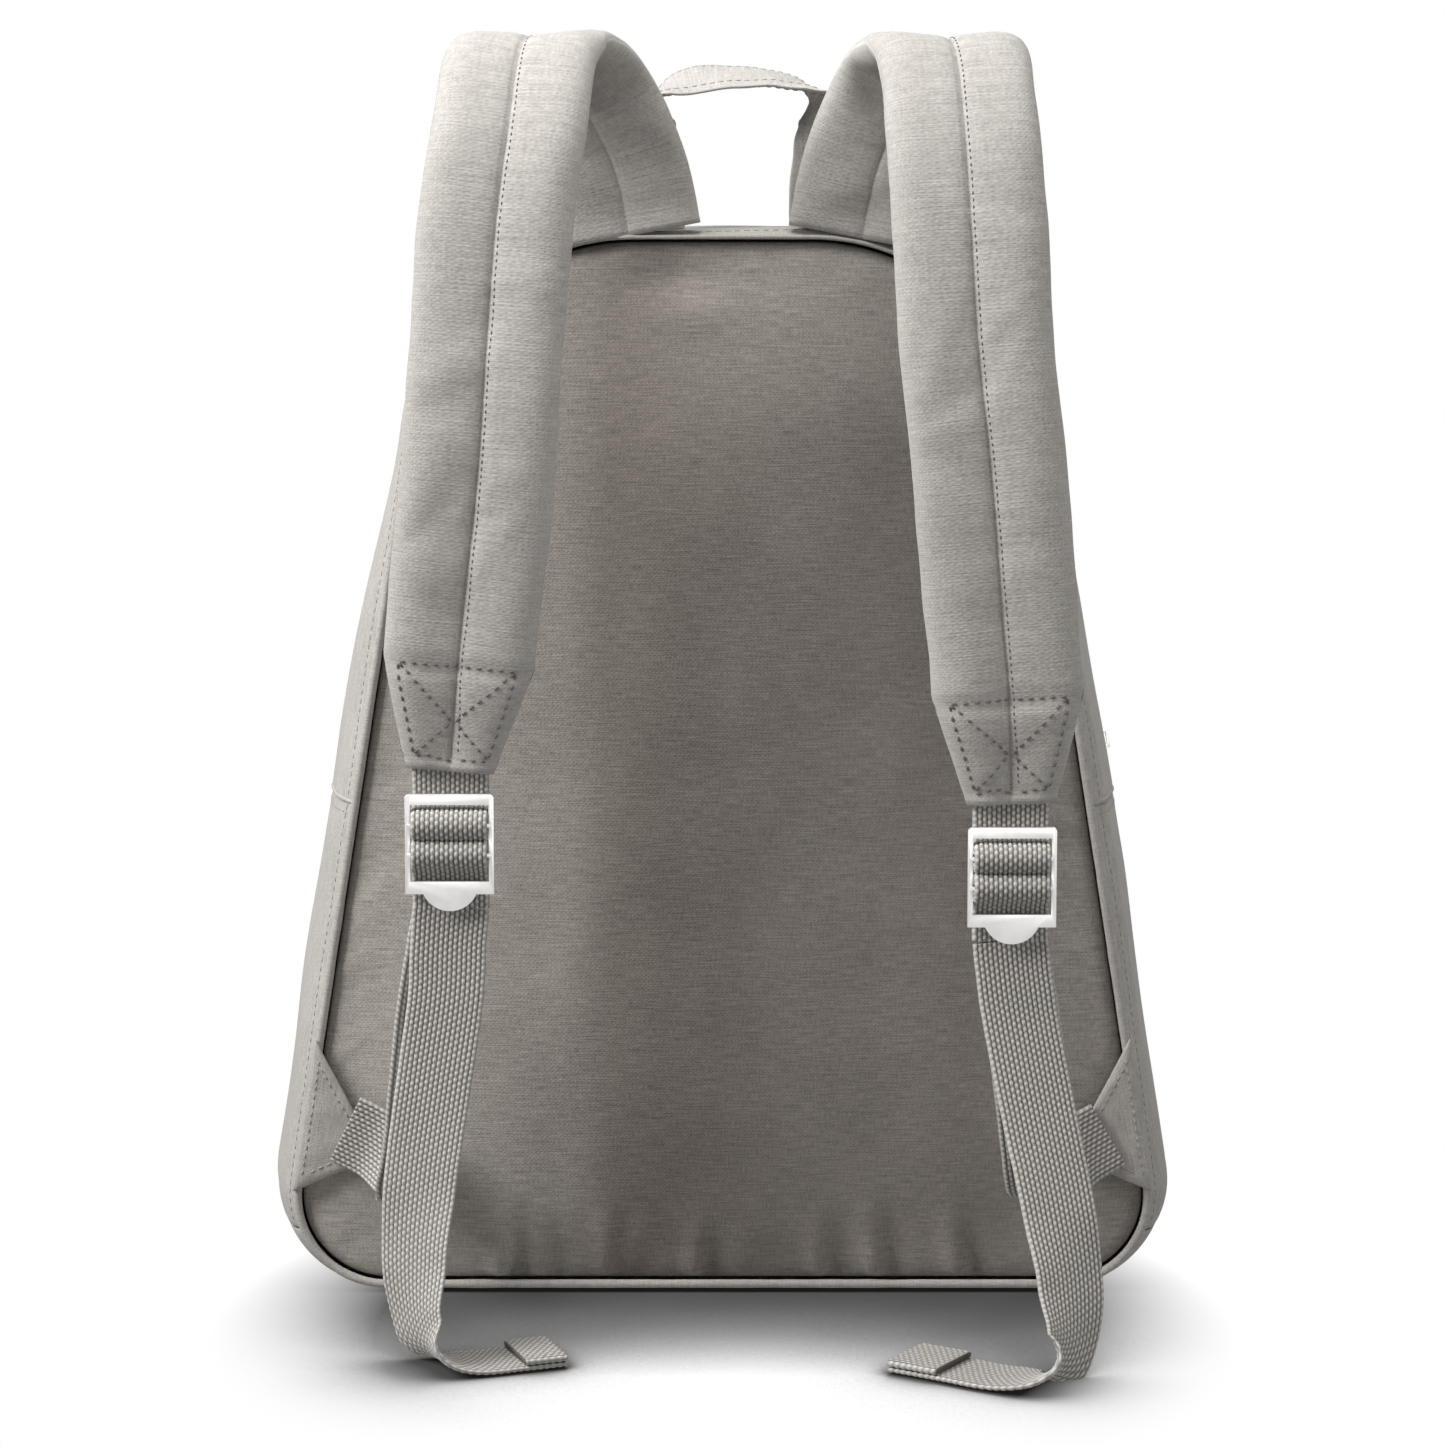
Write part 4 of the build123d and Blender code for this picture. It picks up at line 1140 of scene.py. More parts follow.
def webbingPiece(name, route, thin=1.0):
    width = web["width"]
    columns = web["columns"]
    top, under = 3 * columns, 2 * columns
    around = top + under
    rowsCount = max(8, int(route.length / web["row"] + 0.5) * 4)
    row = route.length / (rowsCount / 4)

    def share(u):
        k = u * around
        if k <= top:
            return True, k / top
        return False, 1 - (k - top) / under

    def grainAt(u, v):
        _, x = share(u)
        column = min(int(x * columns), columns - 1)
        part = x * columns - column
        cross = math.sin(math.pi * part) if 0 < x < 1 else 0.3
        along = abs(math.sin(math.pi * (v * route.length / row + 0.5 * (column % 2) + 0.22 * part)))
        return (max(cross, 0.0) ** 0.6) * (0.04 + 0.96 * along ** 0.9)

    def place(u, v):
        outer, x = share(u)
        s = v * route.length
        spot, _, wide, out = route.at(s)
        edge = 1 - abs(2 * x - 1) ** 14
        half = web["thick"] * thin / 2 * edge ** 0.5
        full = width * (1 + 0.012 * rough(s * 130, 1.0) + 0.010 * rough(s * 40, 5.0))
        lift = grainAt(u, v) * web["grain"] * (1 if outer else 0.6)
        height = half + edge ** 0.5 * (lift - web["grain"] * 0.6)
        at = spot + wide * ((x - 0.5) * full) + out * (height if outer else -height)
        at.z = max(at.z, 0.0002)
        return at

    def wornEdge(u, v):
        _, x = share(u)
        return 0.30 * smooth((abs(2 * x - 1) - 0.92) / 0.06)

    return gridPiece(
        name, loopWebbing, around, rowsCount, place, (2 * width, route.length),
        wrap=True, caps=True, marks={"grain": grainAt, "wear": wornEdge},
    )


def bandLoop(x, points):
    # a route in the plane of a buckle's side view
    return Route([(x, y, z) for y, z in points], [(1, 0, 0)] * len(points), turns=12)


sideX = {"left": -89.0, "right": 94.5}
wrapDrop = 46.3
for label, side in strapSides.items():
    x, tip = sideX[label], side["tip"]
    keeperZ, lowerZ = tip - 17.4, tip - 27.2
    wrapEnd = tip - wrapDrop
    keeper = webbingPiece(f"keeper_{label}", bandLoop(x, (
        (-124.0, tip + 2), (-124.3, tip - 6), (-125.6, keeperZ + 7.2), (-129.0, keeperZ + 4.7),
        (-132.4, keeperZ + 3.9), (-134.3, keeperZ + 1.8), (-134.6, keeperZ - 0.8), (-133.2, keeperZ - 3.4),
        (-130.4, keeperZ - 4.3), (-127.0, keeperZ - 3.4), (-125.4, keeperZ - 0.5),
        (-123.4, keeperZ + 6), (-122.2, tip - 6), (-122.0, tip + 2),
    )))
    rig.replaces(keeper, f"keeper_webbing_{label}")
    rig.slot(keeper, "webbing")
    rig.sheet(keeper, flat=(0.025, 0.062), held="folded", rests_on=[f"buckle_frame_{label}"])
    bendTop, bendLow = (0, 0, (tip - 2) * mm), (0, 0, (keeperZ + 5.5) * mm)
    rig.blend(keeper, f"strap_{label}", f"buckle_{label}", bendTop, bendLow)

    adjuster = webbingPiece(f"adjuster_{label}", bandLoop(x, (
        (-125.0, wrapEnd + 0.5), (-125.0, lowerZ - 8), (-125.4, lowerZ + 0.5), (-127.2, lowerZ + 3.6),
        (-130.6, lowerZ + 4.6), (-133.4, lowerZ + 3.6), (-134.7, lowerZ + 1.0), (-134.2, lowerZ - 1.8),
        (-132.0, lowerZ - 3.9), (-129.6, lowerZ - 5.0), (-128.0, lowerZ - 7.6), (-127.7, lowerZ - 11),
        (-127.7, wrapEnd + 1.0),
    )))
    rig.replaces(adjuster, f"adjuster_wrap_{label}")
    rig.ride(adjuster, f"buckle_{label}")
    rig.slot(adjuster, "webbing")
    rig.sheet(adjuster, flat=(0.025, 0.060), held="folded", rests_on=[f"buckle_frame_{label}"])

tails = {
    "left": {
        "route": ((-89, -127.7, 149), (-90, -128.4, 136), (-91, -130, 118), (-95, -133, 90),
                  (-99, -137, 61), (-101, -142, 35), (-99.5, -147.5, 15), (-93, -150.5, 4.8),
                  (-82, -149, 1.8), (-68, -144, 1.6), (-55, -139, 1.6)),
        "across": ((1, 0, 0), (1, -0.02, 0), (1, -0.05, 0), (1, -0.1, 0), (1, -0.2, 0), (1, -0.5, 0.1),
                   (0.9, -0.9, 0.3), (0.4, -1, 0.1), (0.35, -1, 0), (0.36, -1, 0), (0.36, -1, 0)),
    },
    "right": {
        "route": ((94.5, -127.7, 138), (96, -128.9, 124), (98.5, -131, 108), (104, -137, 80),
                  (109.5, -145, 53), (113, -154, 29), (112, -164, 11.5), (104, -170.5, 4),
                  (91, -166, 1.8), (75, -155.5, 1.6), (60, -146, 1.6)),
        "across": ((1, 0, 0), (1, 0.02, 0), (1, 0.05, 0), (1, 0.1, 0), (1, 0.2, 0), (1, 0.5, -0.1),
                   (0.9, 0.9, -0.3), (0.45, 1, -0.1), (0.5, 1, 0), (0.55, 1, 0), (0.55, 1, 0)),
    },
}
anchors = {
    "left": ((-131, -65.4, 60), (-121, -66.6, 55), (-112.5, -74, 50), (-108, -86, 47), (-105, -97, 50),
             (-102, -106, 62), (-99, -112.5, 86), (-95, -119, 116), (-89, -125, 149)),
    "right": ((134, -65.4, 58), (124, -66.6, 52), (116, -74, 46), (112, -86, 42), (109.5, -97, 44),
              (107, -106, 55), (104, -112.5, 77), (100, -119, 105), (94.5, -125, 138)),
}
anchorAcross = ((0.45, 0, 0.9), (0.45, 0, 0.9), (0.6, 0.1, 0.8), (0.85, 0, 0.5), (1, 0, 0.15),
                (1, 0, 0), (1, 0, 0), (1, 0, 0), (1, 0, 0))
for label, tail in tails.items():
    sign = -1 if label == "left" else 1
    route = Route(tail["route"], tail["across"])
    wrapEnd = (strapSides[label]["tip"] - wrapDrop) * mm
    free = webbingPiece(f"tail_{label}", route)
    hemRoute = Route([Vector(p) + Vector((0, 0, 2.0)) for p in tail["route"][-2:]], tail["across"][-2:])
    hem = webbingPiece(f"tailHem_{label}", hemRoute, thin=1.35)
    for piece, node in ((free, f"webbing_tail_{label}"), (hem, f"tail_hem_{label}")):
        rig.replaces(piece, node)
        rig.slot(piece, "webbing")
    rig.ride(hem, f"tail_{label}")
    under = [f"adjuster_{label}", "floor"]
    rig.sheet(free, flat=(0.025, route.length), held="hung", rests_on=under, with_pieces=[hem])
    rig.blend(free, f"buckle_{label}", f"tail_{label}", (0, 0, wrapEnd + 0.002), (0, 0, wrapEnd - 0.013))

    route = Route(anchors[label], [(x * -sign, y, z) for x, y, z in anchorAcross])
    anchor = webbingPiece(f"anchor_{label}", route)
    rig.replaces(anchor, f"anchor_webbing_{label}")
    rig.slot(anchor, "webbing")
    under = [f"buckle_frame_{label}", f"wingTab_{label}"]
    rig.sheet(anchor, flat=(0.025, route.length), held="hung", rests_on=under)
    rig.blend(anchor, "pack", f"strap_{label}", (0, -0.066, 0.06), (0, -0.122, 0.06))

for label in strapSides:
    node, body = f"buckle_frame_{label}", f"buckle_{label}"
    polished(f"buckle_{label}", node, body, buckleMetal, "buckle_metal", 0.0006)
print("webbing done")

# haul loop: one flat strip, turned a quarter on its way up
haulStrip = {
    "width": 0.024,
    "thick": 0.0026,
    "middle": 5,
    "halfSpan": 30,
    "y": -36,
    "foot": 369.8,
    "rise": 51.5,
    "lean": 0.34,
    # reach from the middle, rise and twist, from the foot up
    "legs": ((1.0, 0.0, 0), (1.0, 0.25, 0), (1.04, 0.50, 6), (1.02, 0.74, 34), (0.84, 0.91, 74),
             (0.48, 0.985, 90)),
}
haulLegs = haulStrip["legs"]
haulPoints, haulAcross = [], []
for sign, legs in ((-1, haulLegs), (1, haulLegs[::-1])):
    for reach, rise, twist in legs:
        tilt = (haulStrip["lean"] - 0.12 * sign) * smooth((twist - 30) / 60)
        x = haulStrip["middle"] + sign * reach * haulStrip["halfSpan"]
        haulPoints.append((x, haulStrip["y"], haulStrip["foot"] + rise * haulStrip["rise"]))
        haulAcross.append((-sign * math.cos(math.radians(twist)), math.sin(math.radians(twist)), tilt))
    if sign < 0:
        haulPoints.append((haulStrip["middle"], haulStrip["y"], 421.5))
        haulAcross.append((0, 1, haulStrip["lean"]))
haulRoute = Route(haulPoints, haulAcross)


def haulPlace(u, v):
    spot, _, wide, out = haulRoute.at(v * haulRoute.length)
    x = -math.cos(2 * math.pi * u)
    outer = u < 0.5
    width = haulStrip["width"] * (1 + 0.02 * rough(v * 14, 3.0))
    half = haulStrip["thick"] / 2 * max(1 - abs(x) ** 6, 0) ** 0.5
    half -= 0.0004 * (lump(abs(x), 0.80, 0.05)) * abs(x) ** 0.5
    half += 0.0003 * rough(v * 30, x * 2, 2.0) * (1 - x * x)
    return spot + wide * (x * width / 2) + out * (half if outer else -half)


haul = gridPiece(
    "haulLoop", strapCanvas, 48, 150, haulPlace, (0.05, haulRoute.length), wrap=True, caps=True,
    marks={"wear": lambda u, v: 0.5 * smooth((abs(math.cos(2 * math.pi * u)) - 0.93) / 0.06)},
)
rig.replaces(haul, "haul_loop")
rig.ride(haul, "haul")
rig.slot(haul, "canvas")
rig.sheet(haul, flat=(0.024, haulRoute.length), held="stretched")
for sign in (-1, 1):
    threads = Stitches(f"haulThread_{'left' if sign < 0 else 'right'}", haul, paleThread)
    for face in (-1, 1):
        line = []
        for k in range(61):
            spot, _, wide, out = haulRoute.at(haulRoute.length * (0.02 + 0.96 * k / 60))
            line.append(spot + wide * sign * 0.0092 + out * face * 0.003)
        threads.run(line, 0.003, 0.0022, 0.0005, 0.4)
    threads.done("haul")

# wing tabs: folded triangles sewn into the side seams
wing = {"low": 0.036, "high": 0.092, "apex": 0.050, "reach": 0.026, "thick": 0.0024}


def edgeX(z, grow):
    point, normal = outlineAt(girthAt(z))
    return point.x + normal.x * grow


for label, sign in (("left", -1), ("right", 1)):
    apex = Vector((sign * (edgeX(wing["apex"], 0) - wing["reach"]), wing["apex"]))

    def place(u, v, sign=sign, apex=apex):
        z = wing["low"] + (wing["high"] - wing["low"]) * (u if sign < 0 else 1 - u)
        edge = Vector((sign * edgeX(z, 0.0030), z))
        spot = edge.lerp(apex, v * 0.97)
        rise = 0.0010 * smooth(v / 0.1) * smooth((1 - v) / 0.1) * smooth(u / 0.08) * smooth((1 - u) / 0.08)
        y = bag["backY"] - 0.0016 - rise - 0.0012 * v + 0.0007 * rough(spot.x * 90, spot.y * 90, 3.0)
        return Vector((spot.x, y, spot.y))

    tab = gridPiece(f"wingTab_{label}", bodyCanvas, 26, 14, place, (0.056, 0.026), flip=True)
    thicken(tab, wing["thick"], 1)
    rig.replaces(tab, f"wing_tab_{label}")
    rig.ride(tab, "pack")
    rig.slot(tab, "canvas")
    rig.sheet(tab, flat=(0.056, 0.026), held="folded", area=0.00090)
print("loop and tabs done")

# front pocket: a shallow box with a zip across its face
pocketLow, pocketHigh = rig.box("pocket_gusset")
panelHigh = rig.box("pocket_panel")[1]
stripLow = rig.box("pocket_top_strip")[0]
pocket = {
    "half": pocketHigh[0],
    "foot": pocketLow[2],
    "head": pocketHigh[2],
    "back": pocketLow[1],
    "face": panelHigh[1],
    "radius": 0.016,
    "crown": 0.0050,
    "roll": 0.0016,
    "across": 90,
}


def pocketHalf(z):
    # half the pocket's width at a height
    deep = min(z - pocket["foot"], pocket["head"] - z)
    half, radius = pocket["half"], pocket["radius"]
    if deep >= radius:
        return half
    return half - radius + math.sqrt(max(radius ** 2 - (radius - max(deep, 0)) ** 2, 0))


def pocketFace(x, z):
    # the pocket's bulging face, calm along the zip
    level = (z - pocket["foot"]) / (pocket["head"] - pocket["foot"])
    side = 1 - abs(x / pocket["half"]) ** 2.4
    calm = 1 - 0.9 * lump(z, pocketZipZ, 0.016)
    rise = math.sin(math.pi * min(max(level, 0), 1)) ** 0.7
    y = pocket["face"] + pocket["crown"] * max(side, 0) * rise * calm
    edge = min(pocket["half"] - abs(x), z - pocket["foot"], pocket["head"] - z)
    y -= pocket["roll"] * (1 - smooth(edge / 0.004))
    y += 0.0015 * rough(x * 24, z * 24, 4.0) * calm * smooth(edge / 0.02)
    return y


pocketZipZ = (panelHigh[2] + stripLow[2]) / 2


def faceStrip(name, material, z0, z1, lift, along, thickness, inset=0.0):
    def place(u, v):
        z = z0 + (z1 - z0) * v
        level = min(max(z, pocket["foot"] + 1e-4), pocket["head"] - 1e-4)
        x = (2 * u - 1) * (pocketHalf(level) - inset)
        return Vector((x, pocketFace(x, z) + lift, z))

    size = (2 * pocket["half"], z1 - z0)
    piece = gridPiece(name, material, pocket["across"], along, place, size, flip=True)
    return thicken(piece, thickness)


panelTop, stripFoot, lap = panelHigh[2], stripLow[2], 0.001
pocketPanel = faceStrip("pocketPanel", faceCanvas, pocket["foot"], panelTop + lap, 0.0004, 48, 0.0016)
pocketStrip = faceStrip("pocketTopStrip", faceCanvas, stripFoot - lap, pocket["head"], 0.0004, 10, 0.0016)
tapeLow, tapeHigh = panelTop - lap, stripFoot + lap
pocketTape = faceStrip("pocketZipTape", tapeWeave, tapeLow, tapeHigh, -0.0008, 12, 0.0008, 0.001)
for piece, node, tall in ((pocketPanel, "pocket_panel", 0.103), (pocketStrip, "pocket_top_strip", 0.0128),
                          (pocketTape, "pocket_zip_tape", 0.0224)):
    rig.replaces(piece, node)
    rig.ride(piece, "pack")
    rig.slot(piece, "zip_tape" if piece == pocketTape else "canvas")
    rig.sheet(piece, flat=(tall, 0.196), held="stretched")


def pocketRing(turn):
    # a point on the pocket's rounded outline with its normal; turn runs 0 to 1
    radius = pocket["radius"]
    wide = pocket["half"] - radius
    tall = (pocket["head"] - pocket["foot"]) / 2 - radius
    quarter = math.pi * radius / 2
    runs = [(2 * tall, 0), (quarter, 1), (2 * wide, 0), (quarter, 1)] * 2
    s = (turn % 1.0) * (4 * tall + 4 * wide + 4 * quarter)
    heading, spot = 0.0, Vector((wide + radius, -tall))
    middle = Vector((0.0, (pocket["head"] + pocket["foot"]) / 2))
    for length, bend in runs:
        part = min(s, length)
        if bend:
            angle = part / radius
            centre = spot - Vector((math.cos(heading), math.sin(heading))) * radius
            heading += angle
            spot = centre + Vector((math.cos(heading), math.sin(heading))) * radius
        else:
            spot = spot + Vector((-math.sin(heading), math.cos(heading))) * part
        s -= part
        if s <= 0:
            break
    return spot + middle, Vector((math.cos(heading), math.sin(heading)))


def pocketWall(u, v):
    spot, normal = pocketRing(u)
    out = 0.0016 * math.sin(math.pi * v) + 0.0010 * rough(u * 22, v * 2, 6.0) * math.sin(math.pi * v)
    spot = spot + normal * (out - 0.0006)
    y = pocket["back"] - 0.001 + (pocketFace(spot.x * 0.985, spot.y) - pocket["back"] + 0.0012) * v
    return Vector((spot.x, y, spot.y))


pocketSides = gridPiece("pocketGusset", bodyCanvas, 220, 8, pocketWall, (0.640, 0.021), wrap=True)
thicken(pocketSides, 0.0014)
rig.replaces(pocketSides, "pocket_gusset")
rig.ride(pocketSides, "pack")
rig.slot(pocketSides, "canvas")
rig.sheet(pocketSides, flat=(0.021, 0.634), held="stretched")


def pocketCoilPlace(u, v):
    x = (2 * u - 1) * (pocket["half"] - 0.0030)
    z = pocketZipZ + (v - 0.5) * 0.0052
    half = 0 if v < 0.5 else 1
    turn = math.sin(2 * math.pi * (x / coil["pitch"] + 0.5 * half))
    arch = abs(math.sin(2 * math.pi * v))
    rise = 0.0016 * (0.12 + 0.88 * arch) * (0.72 + 0.28 * turn) if 0 < v < 1 else -0.0006
    return Vector((x, pocketFace(x, z) - 0.0008 + rise, z))


coilCount = int(0.19 / coil["pitch"]) * 4
pocketCoil = gridPiece("pocketCoil", coilNylon, coilCount, 12, pocketCoilPlace, (0.19, 0.005), flip=True)
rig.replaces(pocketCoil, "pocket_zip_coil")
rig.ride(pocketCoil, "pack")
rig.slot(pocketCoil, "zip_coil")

# sleeve inside, seen when the front is open
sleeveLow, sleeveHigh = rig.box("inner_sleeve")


def sleevePlace(u, v):
    half, deep = sleeveHigh[0], sleeveHigh[1] - sleeveLow[1]
    walk = (2 * u - 1) * (half + deep)
    side = math.copysign(1, walk)
    turn = smooth((abs(walk) - half) / deep)
    x = side * (half - 0.0015 * turn) if abs(walk) > half else walk
    y = sleeveHigh[1] - max(abs(walk) - half, 0) - 0.003 * smooth((abs(walk) - half + 0.012) / 0.012)
    z = sleeveLow[2] + (sleeveHigh[2] - sleeveLow[2]) * v
    y += 0.0022 * smooth(v / 0.3) * (1 - abs(2 * u - 1) ** 3) * (0.6 + rough(x * 14, z * 9, 3.0))
    return Vector((x, max(y, sleeveLow[1] + 0.0004), z))


sleeve = gridPiece("innerSleeve", insideCanvas, 90, 60, sleevePlace, (0.216, 0.225), flip=True)
thicken(sleeve, 0.0014)
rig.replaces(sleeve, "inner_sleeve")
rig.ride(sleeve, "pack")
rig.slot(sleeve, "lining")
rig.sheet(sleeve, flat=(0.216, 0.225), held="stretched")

boardMaterial, boardTree, boardShader = newMaterial("baseBoard")
boardGrain = noiseOn(boardTree, ownCoords(boardTree), 300.0, (1, 1, 1), 3.0)
boardColour = mixColour(boardTree, boardGrain, (0.05, 0.05, 0.05), (0.11, 0.105, 0.10))
boardTree.links.new(boardColour, boardShader.inputs["Base Color"])
boardShader.inputs["Roughness"].default_value = 0.6
frame["nodes"]["base_stiffener"].data.materials.clear()
frame["nodes"]["base_stiffener"].data.materials.append(boardMaterial)
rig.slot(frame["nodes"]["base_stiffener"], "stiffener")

# sliders and pulls
for node, body in (("main_zip_slider", "main_slider"), ("main_zip_pull", "main_pull"),
                   ("pocket_zip_slider", "pocket_slider"), ("pocket_zip_pull", "pocket_pull")):
    polished(node.replace("zip_", "") + "_metal", node, body, zipMetal, "zip_metal", 0.0003)


# rolled seams: thin tubes along lines on the surface
def seamTube(name, material, line, radius, body, blend=None, closed=False):
    bm = bmesh.new()
    cloth = bm.loops.layers.uv.new("cloth")
    rings = []
    sides = 8
    for k, spot in enumerate(line):
        ahead = line[(k + 1) % len(line)] if closed or k + 1 < len(line) else line[k]
        behind = line[k - 1] if closed or k else line[k]
        along = (ahead - behind).normalized()
        out = along.cross(Vector((0.31, 0.17, 0.93))).normalized()
        up = along.cross(out)
        fat = radius * (1 + 0.10 * rough(k * 0.7, 3.0))
        rings.append([bm.verts.new(spot + (out * math.cos(a) + up * math.sin(a)) * fat)
                      for a in (2 * math.pi * j / sides for j in range(sides))])
    pairs = list(zip(rings, rings[1:] + ([rings[0]] if closed else [])))
    for a, b in pairs:
        for j in range(sides):
            face = bm.faces.new((a[j], a[(j + 1) % sides], b[(j + 1) % sides], b[j]))
            for loop in face.loops:
                loop[cloth].uv = (loop.vert.co.x + loop.vert.co.y, loop.vert.co.z)
    if not closed:
        bm.faces.new(rings[0])
        bm.faces.new(rings[-1])
    bmesh.ops.recalc_face_normals(bm, faces=bm.faces)
    piece = newPiece(name, bm, material)
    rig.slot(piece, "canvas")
    if blend:
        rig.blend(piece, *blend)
    else:
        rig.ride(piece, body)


for label, s0, s1, blend in (
    ("lower", -midRight, midRight, None),
    ("upper", midRight, girth - midRight, ("pack", "flap", flapBend["start"], flapBend["end"])),
):
    line = []
    for k in range(241):
        s = s0 + (s1 - s0) * k / 240
        spot = skin(s, bag["frontY"] - 0.0016)
        line.append(Vector((spot.x, bag["frontY"] - 0.0010, max(spot.z, 0.0016))))
    seamTube(f"frontPiping_{label}", bodyCanvas, line, 0.0016, "pack", blend)
midWalls = (("Rear", zipRear, seamY, tapeRear), ("Front", zipFront, tapeFront, wallFront))
for label, s in (("right", midRight), ("left", girth - midRight)):
    for end, wall, y0, y1 in midWalls:
        tree = BVHTree.FromBMesh(finishedMesh(wall))
        near = [tree.find_nearest(skin(s, y0 + (y1 - y0) * k / 40, 0.0006)) for k in range(1, 40)]
        line = [hit[0] - hit[1] * 0.0003 for hit in near]
        seamTube(f"midSeam{end}_{label}", bodyCanvas, line, 0.0009, "pack")
pocketLine = []
for k in range(240):
    spot, normal = pocketRing(k / 240)
    spot = spot + normal * -0.0006
    pocketLine.append(Vector((spot.x, pocketFace(spot.x * 0.985, spot.y) + 0.0004, spot.y)))
seamTube("pocketPiping", bodyCanvas, pocketLine, 0.0013, "pack", None, True)

# topstitching: spacing, length, thickness and share sunk into the cloth
topStitch = (0.0032, 0.0024, 0.0005, 0.4)
flapBlend = (("pack", "flap"), flapBend["start"], flapBend["end"])


def skinLine(y, s0, s1):
    count = max(2, int((s1 - s0) / 0.004))
    return [skin(s0 + (s1 - s0) * k / count, y, 0.001) for k in range(count + 1)]


def pocketRow(z):
    return [Vector((x / 1000, pocketFace(x / 1000, z), z)) for x in range(-94, 95, 4)]


rearThread = Stitches("rearZipThread", zipRear, paleThread)
for y in (seamY + 0.0045, tapeRear - 0.0022, tapeRear - 0.0080):
    rearThread.run(skinLine(y, midRight + 0.002, girth - midRight - 0.002), *topStitch)
rearThread.done("pack")
frontThread = Stitches("frontZipThread", zipFront, paleThread)
for y in (tapeFront + 0.0022, wallFront - 0.0050):
    frontThread.run(skinLine(y, midRight + 0.002, girth - midRight - 0.002), *topStitch)
frontThread.done(blend=flapBlend)
for label, s0, s1 in (("right", baseRight, midRight), ("left", girth - midRight, girth - baseRight)):
    wall = bpy.data.objects[f"sideGusset_{label}"]
    wallThread = Stitches(f"sideThread_{label}", wall, paleThread)
    for y in (seamY + 0.0045, wallFront - 0.0050):
        wallThread.run(skinLine(y, s0, s1), *topStitch)
    s = midRight - 0.0035 if label == "right" else girth - midRight + 0.0035
    wallThread.run([skin(s, seamY + (wallFront - seamY) * k / 30, 0.001) for k in range(31)], *topStitch)
    wallThread.done("pack")
pocketThread = Stitches("pocketThread", pocketPanel, paleThread)
rim = []
for k in range(200):
    spot, normal = pocketRing(k / 200)
    spot = spot - normal * 0.0055
    if spot.y < panelHigh[2] - 0.003:
        rim.append(Vector((spot.x, pocketFace(spot.x, spot.y), spot.y)))
rim.sort(key=lambda p: math.atan2(p.x, -(p.z - 0.08)))
pocketThread.run(rim, *topStitch)
pocketThread.run(pocketRow(panelHigh[2] - 0.0018), *topStitch)
pocketThread.done("pack")
stripThread = Stitches("pocketStripThread", pocketStrip, paleThread)
stripThread.run(pocketRow(stripLow[2] + 0.0018), *topStitch)
stripThread.done("pack")
for label, sign in (("left", -1), ("right", 1)):
    tab = bpy.data.objects[f"wingTab_{label}"]
    tabThread = Stitches(f"wingThread_{label}", tab, paleThread)
    apex = Vector((sign * (edgeX(wing["apex"], 0) - wing["reach"]), wing["apex"]))
    low = Vector((sign * edgeX(wing["low"], 0.003), wing["low"]))
    high = Vector((sign * edgeX(wing["high"], 0.003), wing["high"]))
    heart = (low + high + apex) / 3
    ring = [heart.lerp(corner, 0.72) for corner in (low, high, apex, low)]
    line = []
    for a, b in zip(ring, ring[1:]):
        line += [a.lerp(b, k / 8) for k in range(8)]
    tabThread.run([Vector((p.x, bag["backY"] - 0.006, p.y)) for p in line], 0.0030, 0.0022, 0.0006, 0.4)
    tabThread.done("pack")
print("pocket, seams and stitches done")

# floor, light and camera
light = {
    "keyWatts": 24.5,
    "sideWatts": 5.8,
    "topWatts": 6.4,
    "fillWatts": 3.2,
    "backWatts": 15.0,
    "world": 0.06,
    "floorGlow": 0.94,
    "floorBounce": 0.26,
    "floorDiffuse": 0.08,
    "contact": 0.10,
    "contactPower": 5.8,
    "floorShift": (0.0, 0.50, 0.0),
    "floorScale": (5.6, 5.0, 1.0),
    "floorNear": 0.66,
    "floorFar": 0.97,
}


def seenBy(tree, *kinds):
    # 1 for rays of these kinds, 0 for all others
    rays = tree.nodes.new("ShaderNodeLightPath")
    seen = rays.outputs[kinds[0]]
    for kind in kinds[1:]:
        seen = math2(tree, "MAXIMUM", seen, rays.outputs[kind])
    return seen


def areaLight(name, place, target, size, watts):
    data = bpy.data.lights.new(name, "AREA")
    data.shape = "RECTANGLE"
    data.size, data.size_y = size
    data.energy = watts
    lamp = bpy.data.objects.new(name, data)
    lamp.location = place
    lamp.rotation_euler = (Vector(target) - Vector(place)).to_track_quat("-Z", "Y").to_euler()
    bpy.context.scene.collection.objects.link(lamp)


areaLight("keyLeft", (-1.08, -0.52, 1.00), (0, -0.06, 0.34), (0.6, 0.8), light["keyWatts"])
areaLight("sideRight", (1.40, -0.52, 0.70), (0, -0.06, 0.28), (0.6, 1.0), light["sideWatts"])
areaLight("overhead", (-0.08, -0.26, 1.10), (0, -0.08, 0.25), (0.8, 0.4), light["topWatts"])
areaLight("frontFill", (0.1, -1.9, 0.30), (0, 0, 0.02), (1.2, 0.4), light["fillWatts"])
areaLight("farSide", (0.5, 2.0, 1.1), (0, 0, 0.2), (1.8, 1.3), light["backWatts"])

world = bpy.data.worlds.new("studio")
bpy.context.scene.world = world
world.use_nodes = True
sky = world.node_tree
background = next(node for node in sky.nodes if node.type == "BACKGROUND")
seen = seenBy(sky, "Is Camera Ray", "Is Glossy Ray", "Is Transmission Ray")
background.inputs["Color"].default_value = (1, 1, 1, 1)
sky.links.new(remap(sky, seen, toLow=light["world"]), background.inputs["Strength"])

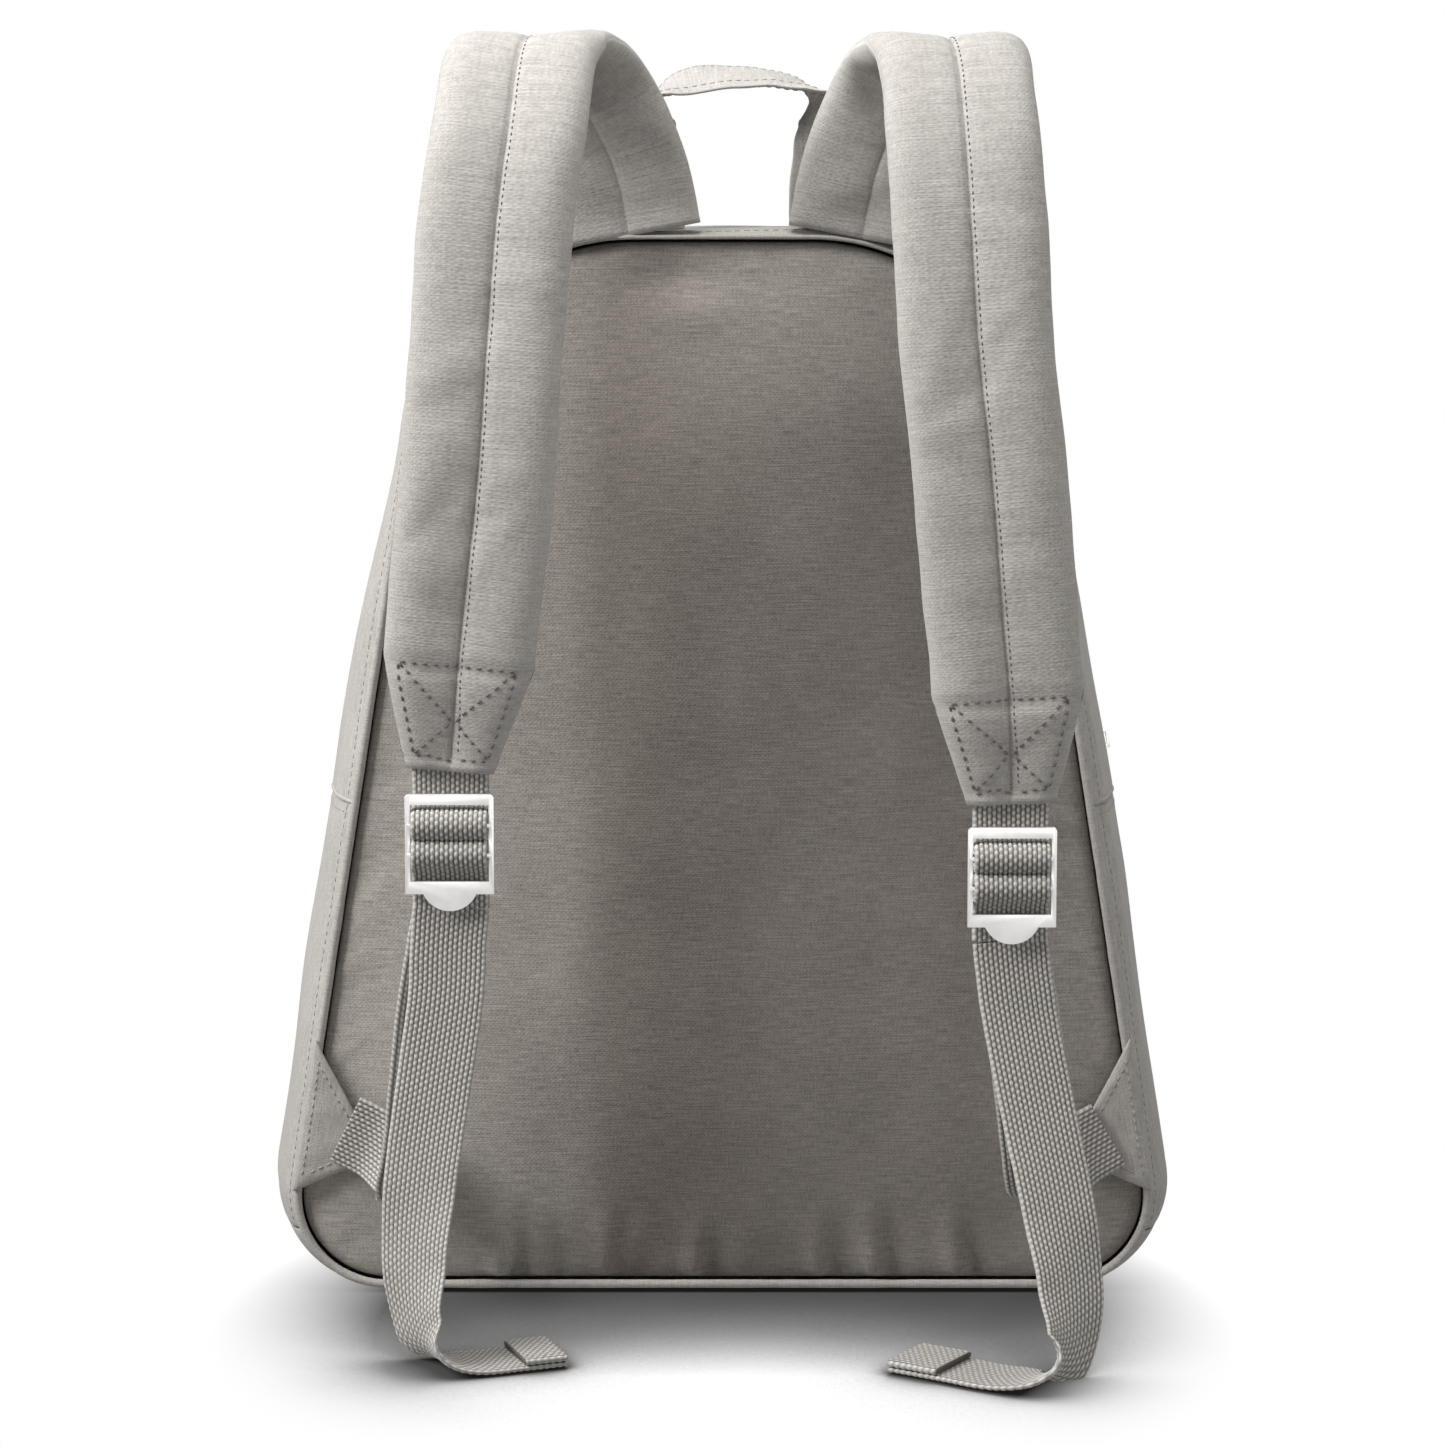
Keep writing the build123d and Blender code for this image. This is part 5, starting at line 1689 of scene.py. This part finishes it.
floorBm = bmesh.new()
bmesh.ops.create_grid(floorBm, x_segments=1, y_segments=1, size=8.0)
floorMaterial, floorTree, floorShader = newMaterial("paleFloor")
setInputs(floorShader, {
    "Base Color": [light["floorDiffuse"]] * 3 + [1],
    "Roughness": 1.0,
    "Specular IOR Level": 0.0,
    "Emission Color": (1, 1, 1, 1),
})
floorSeen = seenBy(floorTree, "Is Camera Ray", "Is Glossy Ray")
unshaded = floorTree.nodes.new("ShaderNodeAmbientOcclusion")
unshaded.samples = 12
unshaded.inputs["Distance"].default_value = light["contact"]
contact = math2(floorTree, "POWER", unshaded.outputs["AO"], light["contactPower"])
contact = math2(floorTree, "MULTIPLY", contact, light["floorGlow"])
# the contact shadow is seen by the camera only; the bounce onto the bag stays even
lit = remap(floorTree, floorSeen, toLow=light["floorBounce"], toHigh=contact)
floorTree.links.new(lit, floorShader.inputs["Emission Strength"])
footprint = floorTree.nodes.new("ShaderNodeMapping")
footprint.inputs["Location"].default_value = light["floorShift"]
footprint.inputs["Scale"].default_value = light["floorScale"]
floorTree.links.new(ownCoords(floorTree), footprint.inputs["Vector"])
away = floorTree.nodes.new("ShaderNodeVectorMath")
away.operation = "LENGTH"
floorTree.links.new(footprint.outputs[0], away.inputs[0])
plain = floorTree.nodes.new("ShaderNodeEmission")
plain.inputs["Color"].default_value = (1, 1, 1, 1)
floorTree.links.new(remap(floorTree, floorSeen, toLow=light["floorBounce"]), plain.inputs["Strength"])
fade = floorTree.nodes.new("ShaderNodeMixShader")
floorEnd = next(node for node in floorTree.nodes if node.type == "OUTPUT_MATERIAL")
edge = remap(floorTree, away.outputs["Value"], light["floorNear"], light["floorFar"])
floorTree.links.new(edge, fade.inputs[0])
floorTree.links.new(floorShader.outputs[0], fade.inputs[1])
floorTree.links.new(plain.outputs[0], fade.inputs[2])
floorTree.links.new(fade.outputs[0], floorEnd.inputs["Surface"])
floor = newPiece("floor", floorBm, floorMaterial)
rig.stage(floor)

view = {"lens": 92.8, "sensor": 36, "place": (0.0, -1.331, 0.362), "dip": 7.2}
camera = bpy.data.objects.new("camera", bpy.data.cameras.new("camera"))
bpy.context.scene.collection.objects.link(camera)
camera.data.lens = view["lens"]
camera.data.sensor_width = view["sensor"]
camera.location = view["place"]
camera.rotation_euler = (math.radians(90 - view["dip"]), 0, 0)
bpy.context.scene.camera = camera
bpy.context.scene.view_settings.view_transform = "Standard"

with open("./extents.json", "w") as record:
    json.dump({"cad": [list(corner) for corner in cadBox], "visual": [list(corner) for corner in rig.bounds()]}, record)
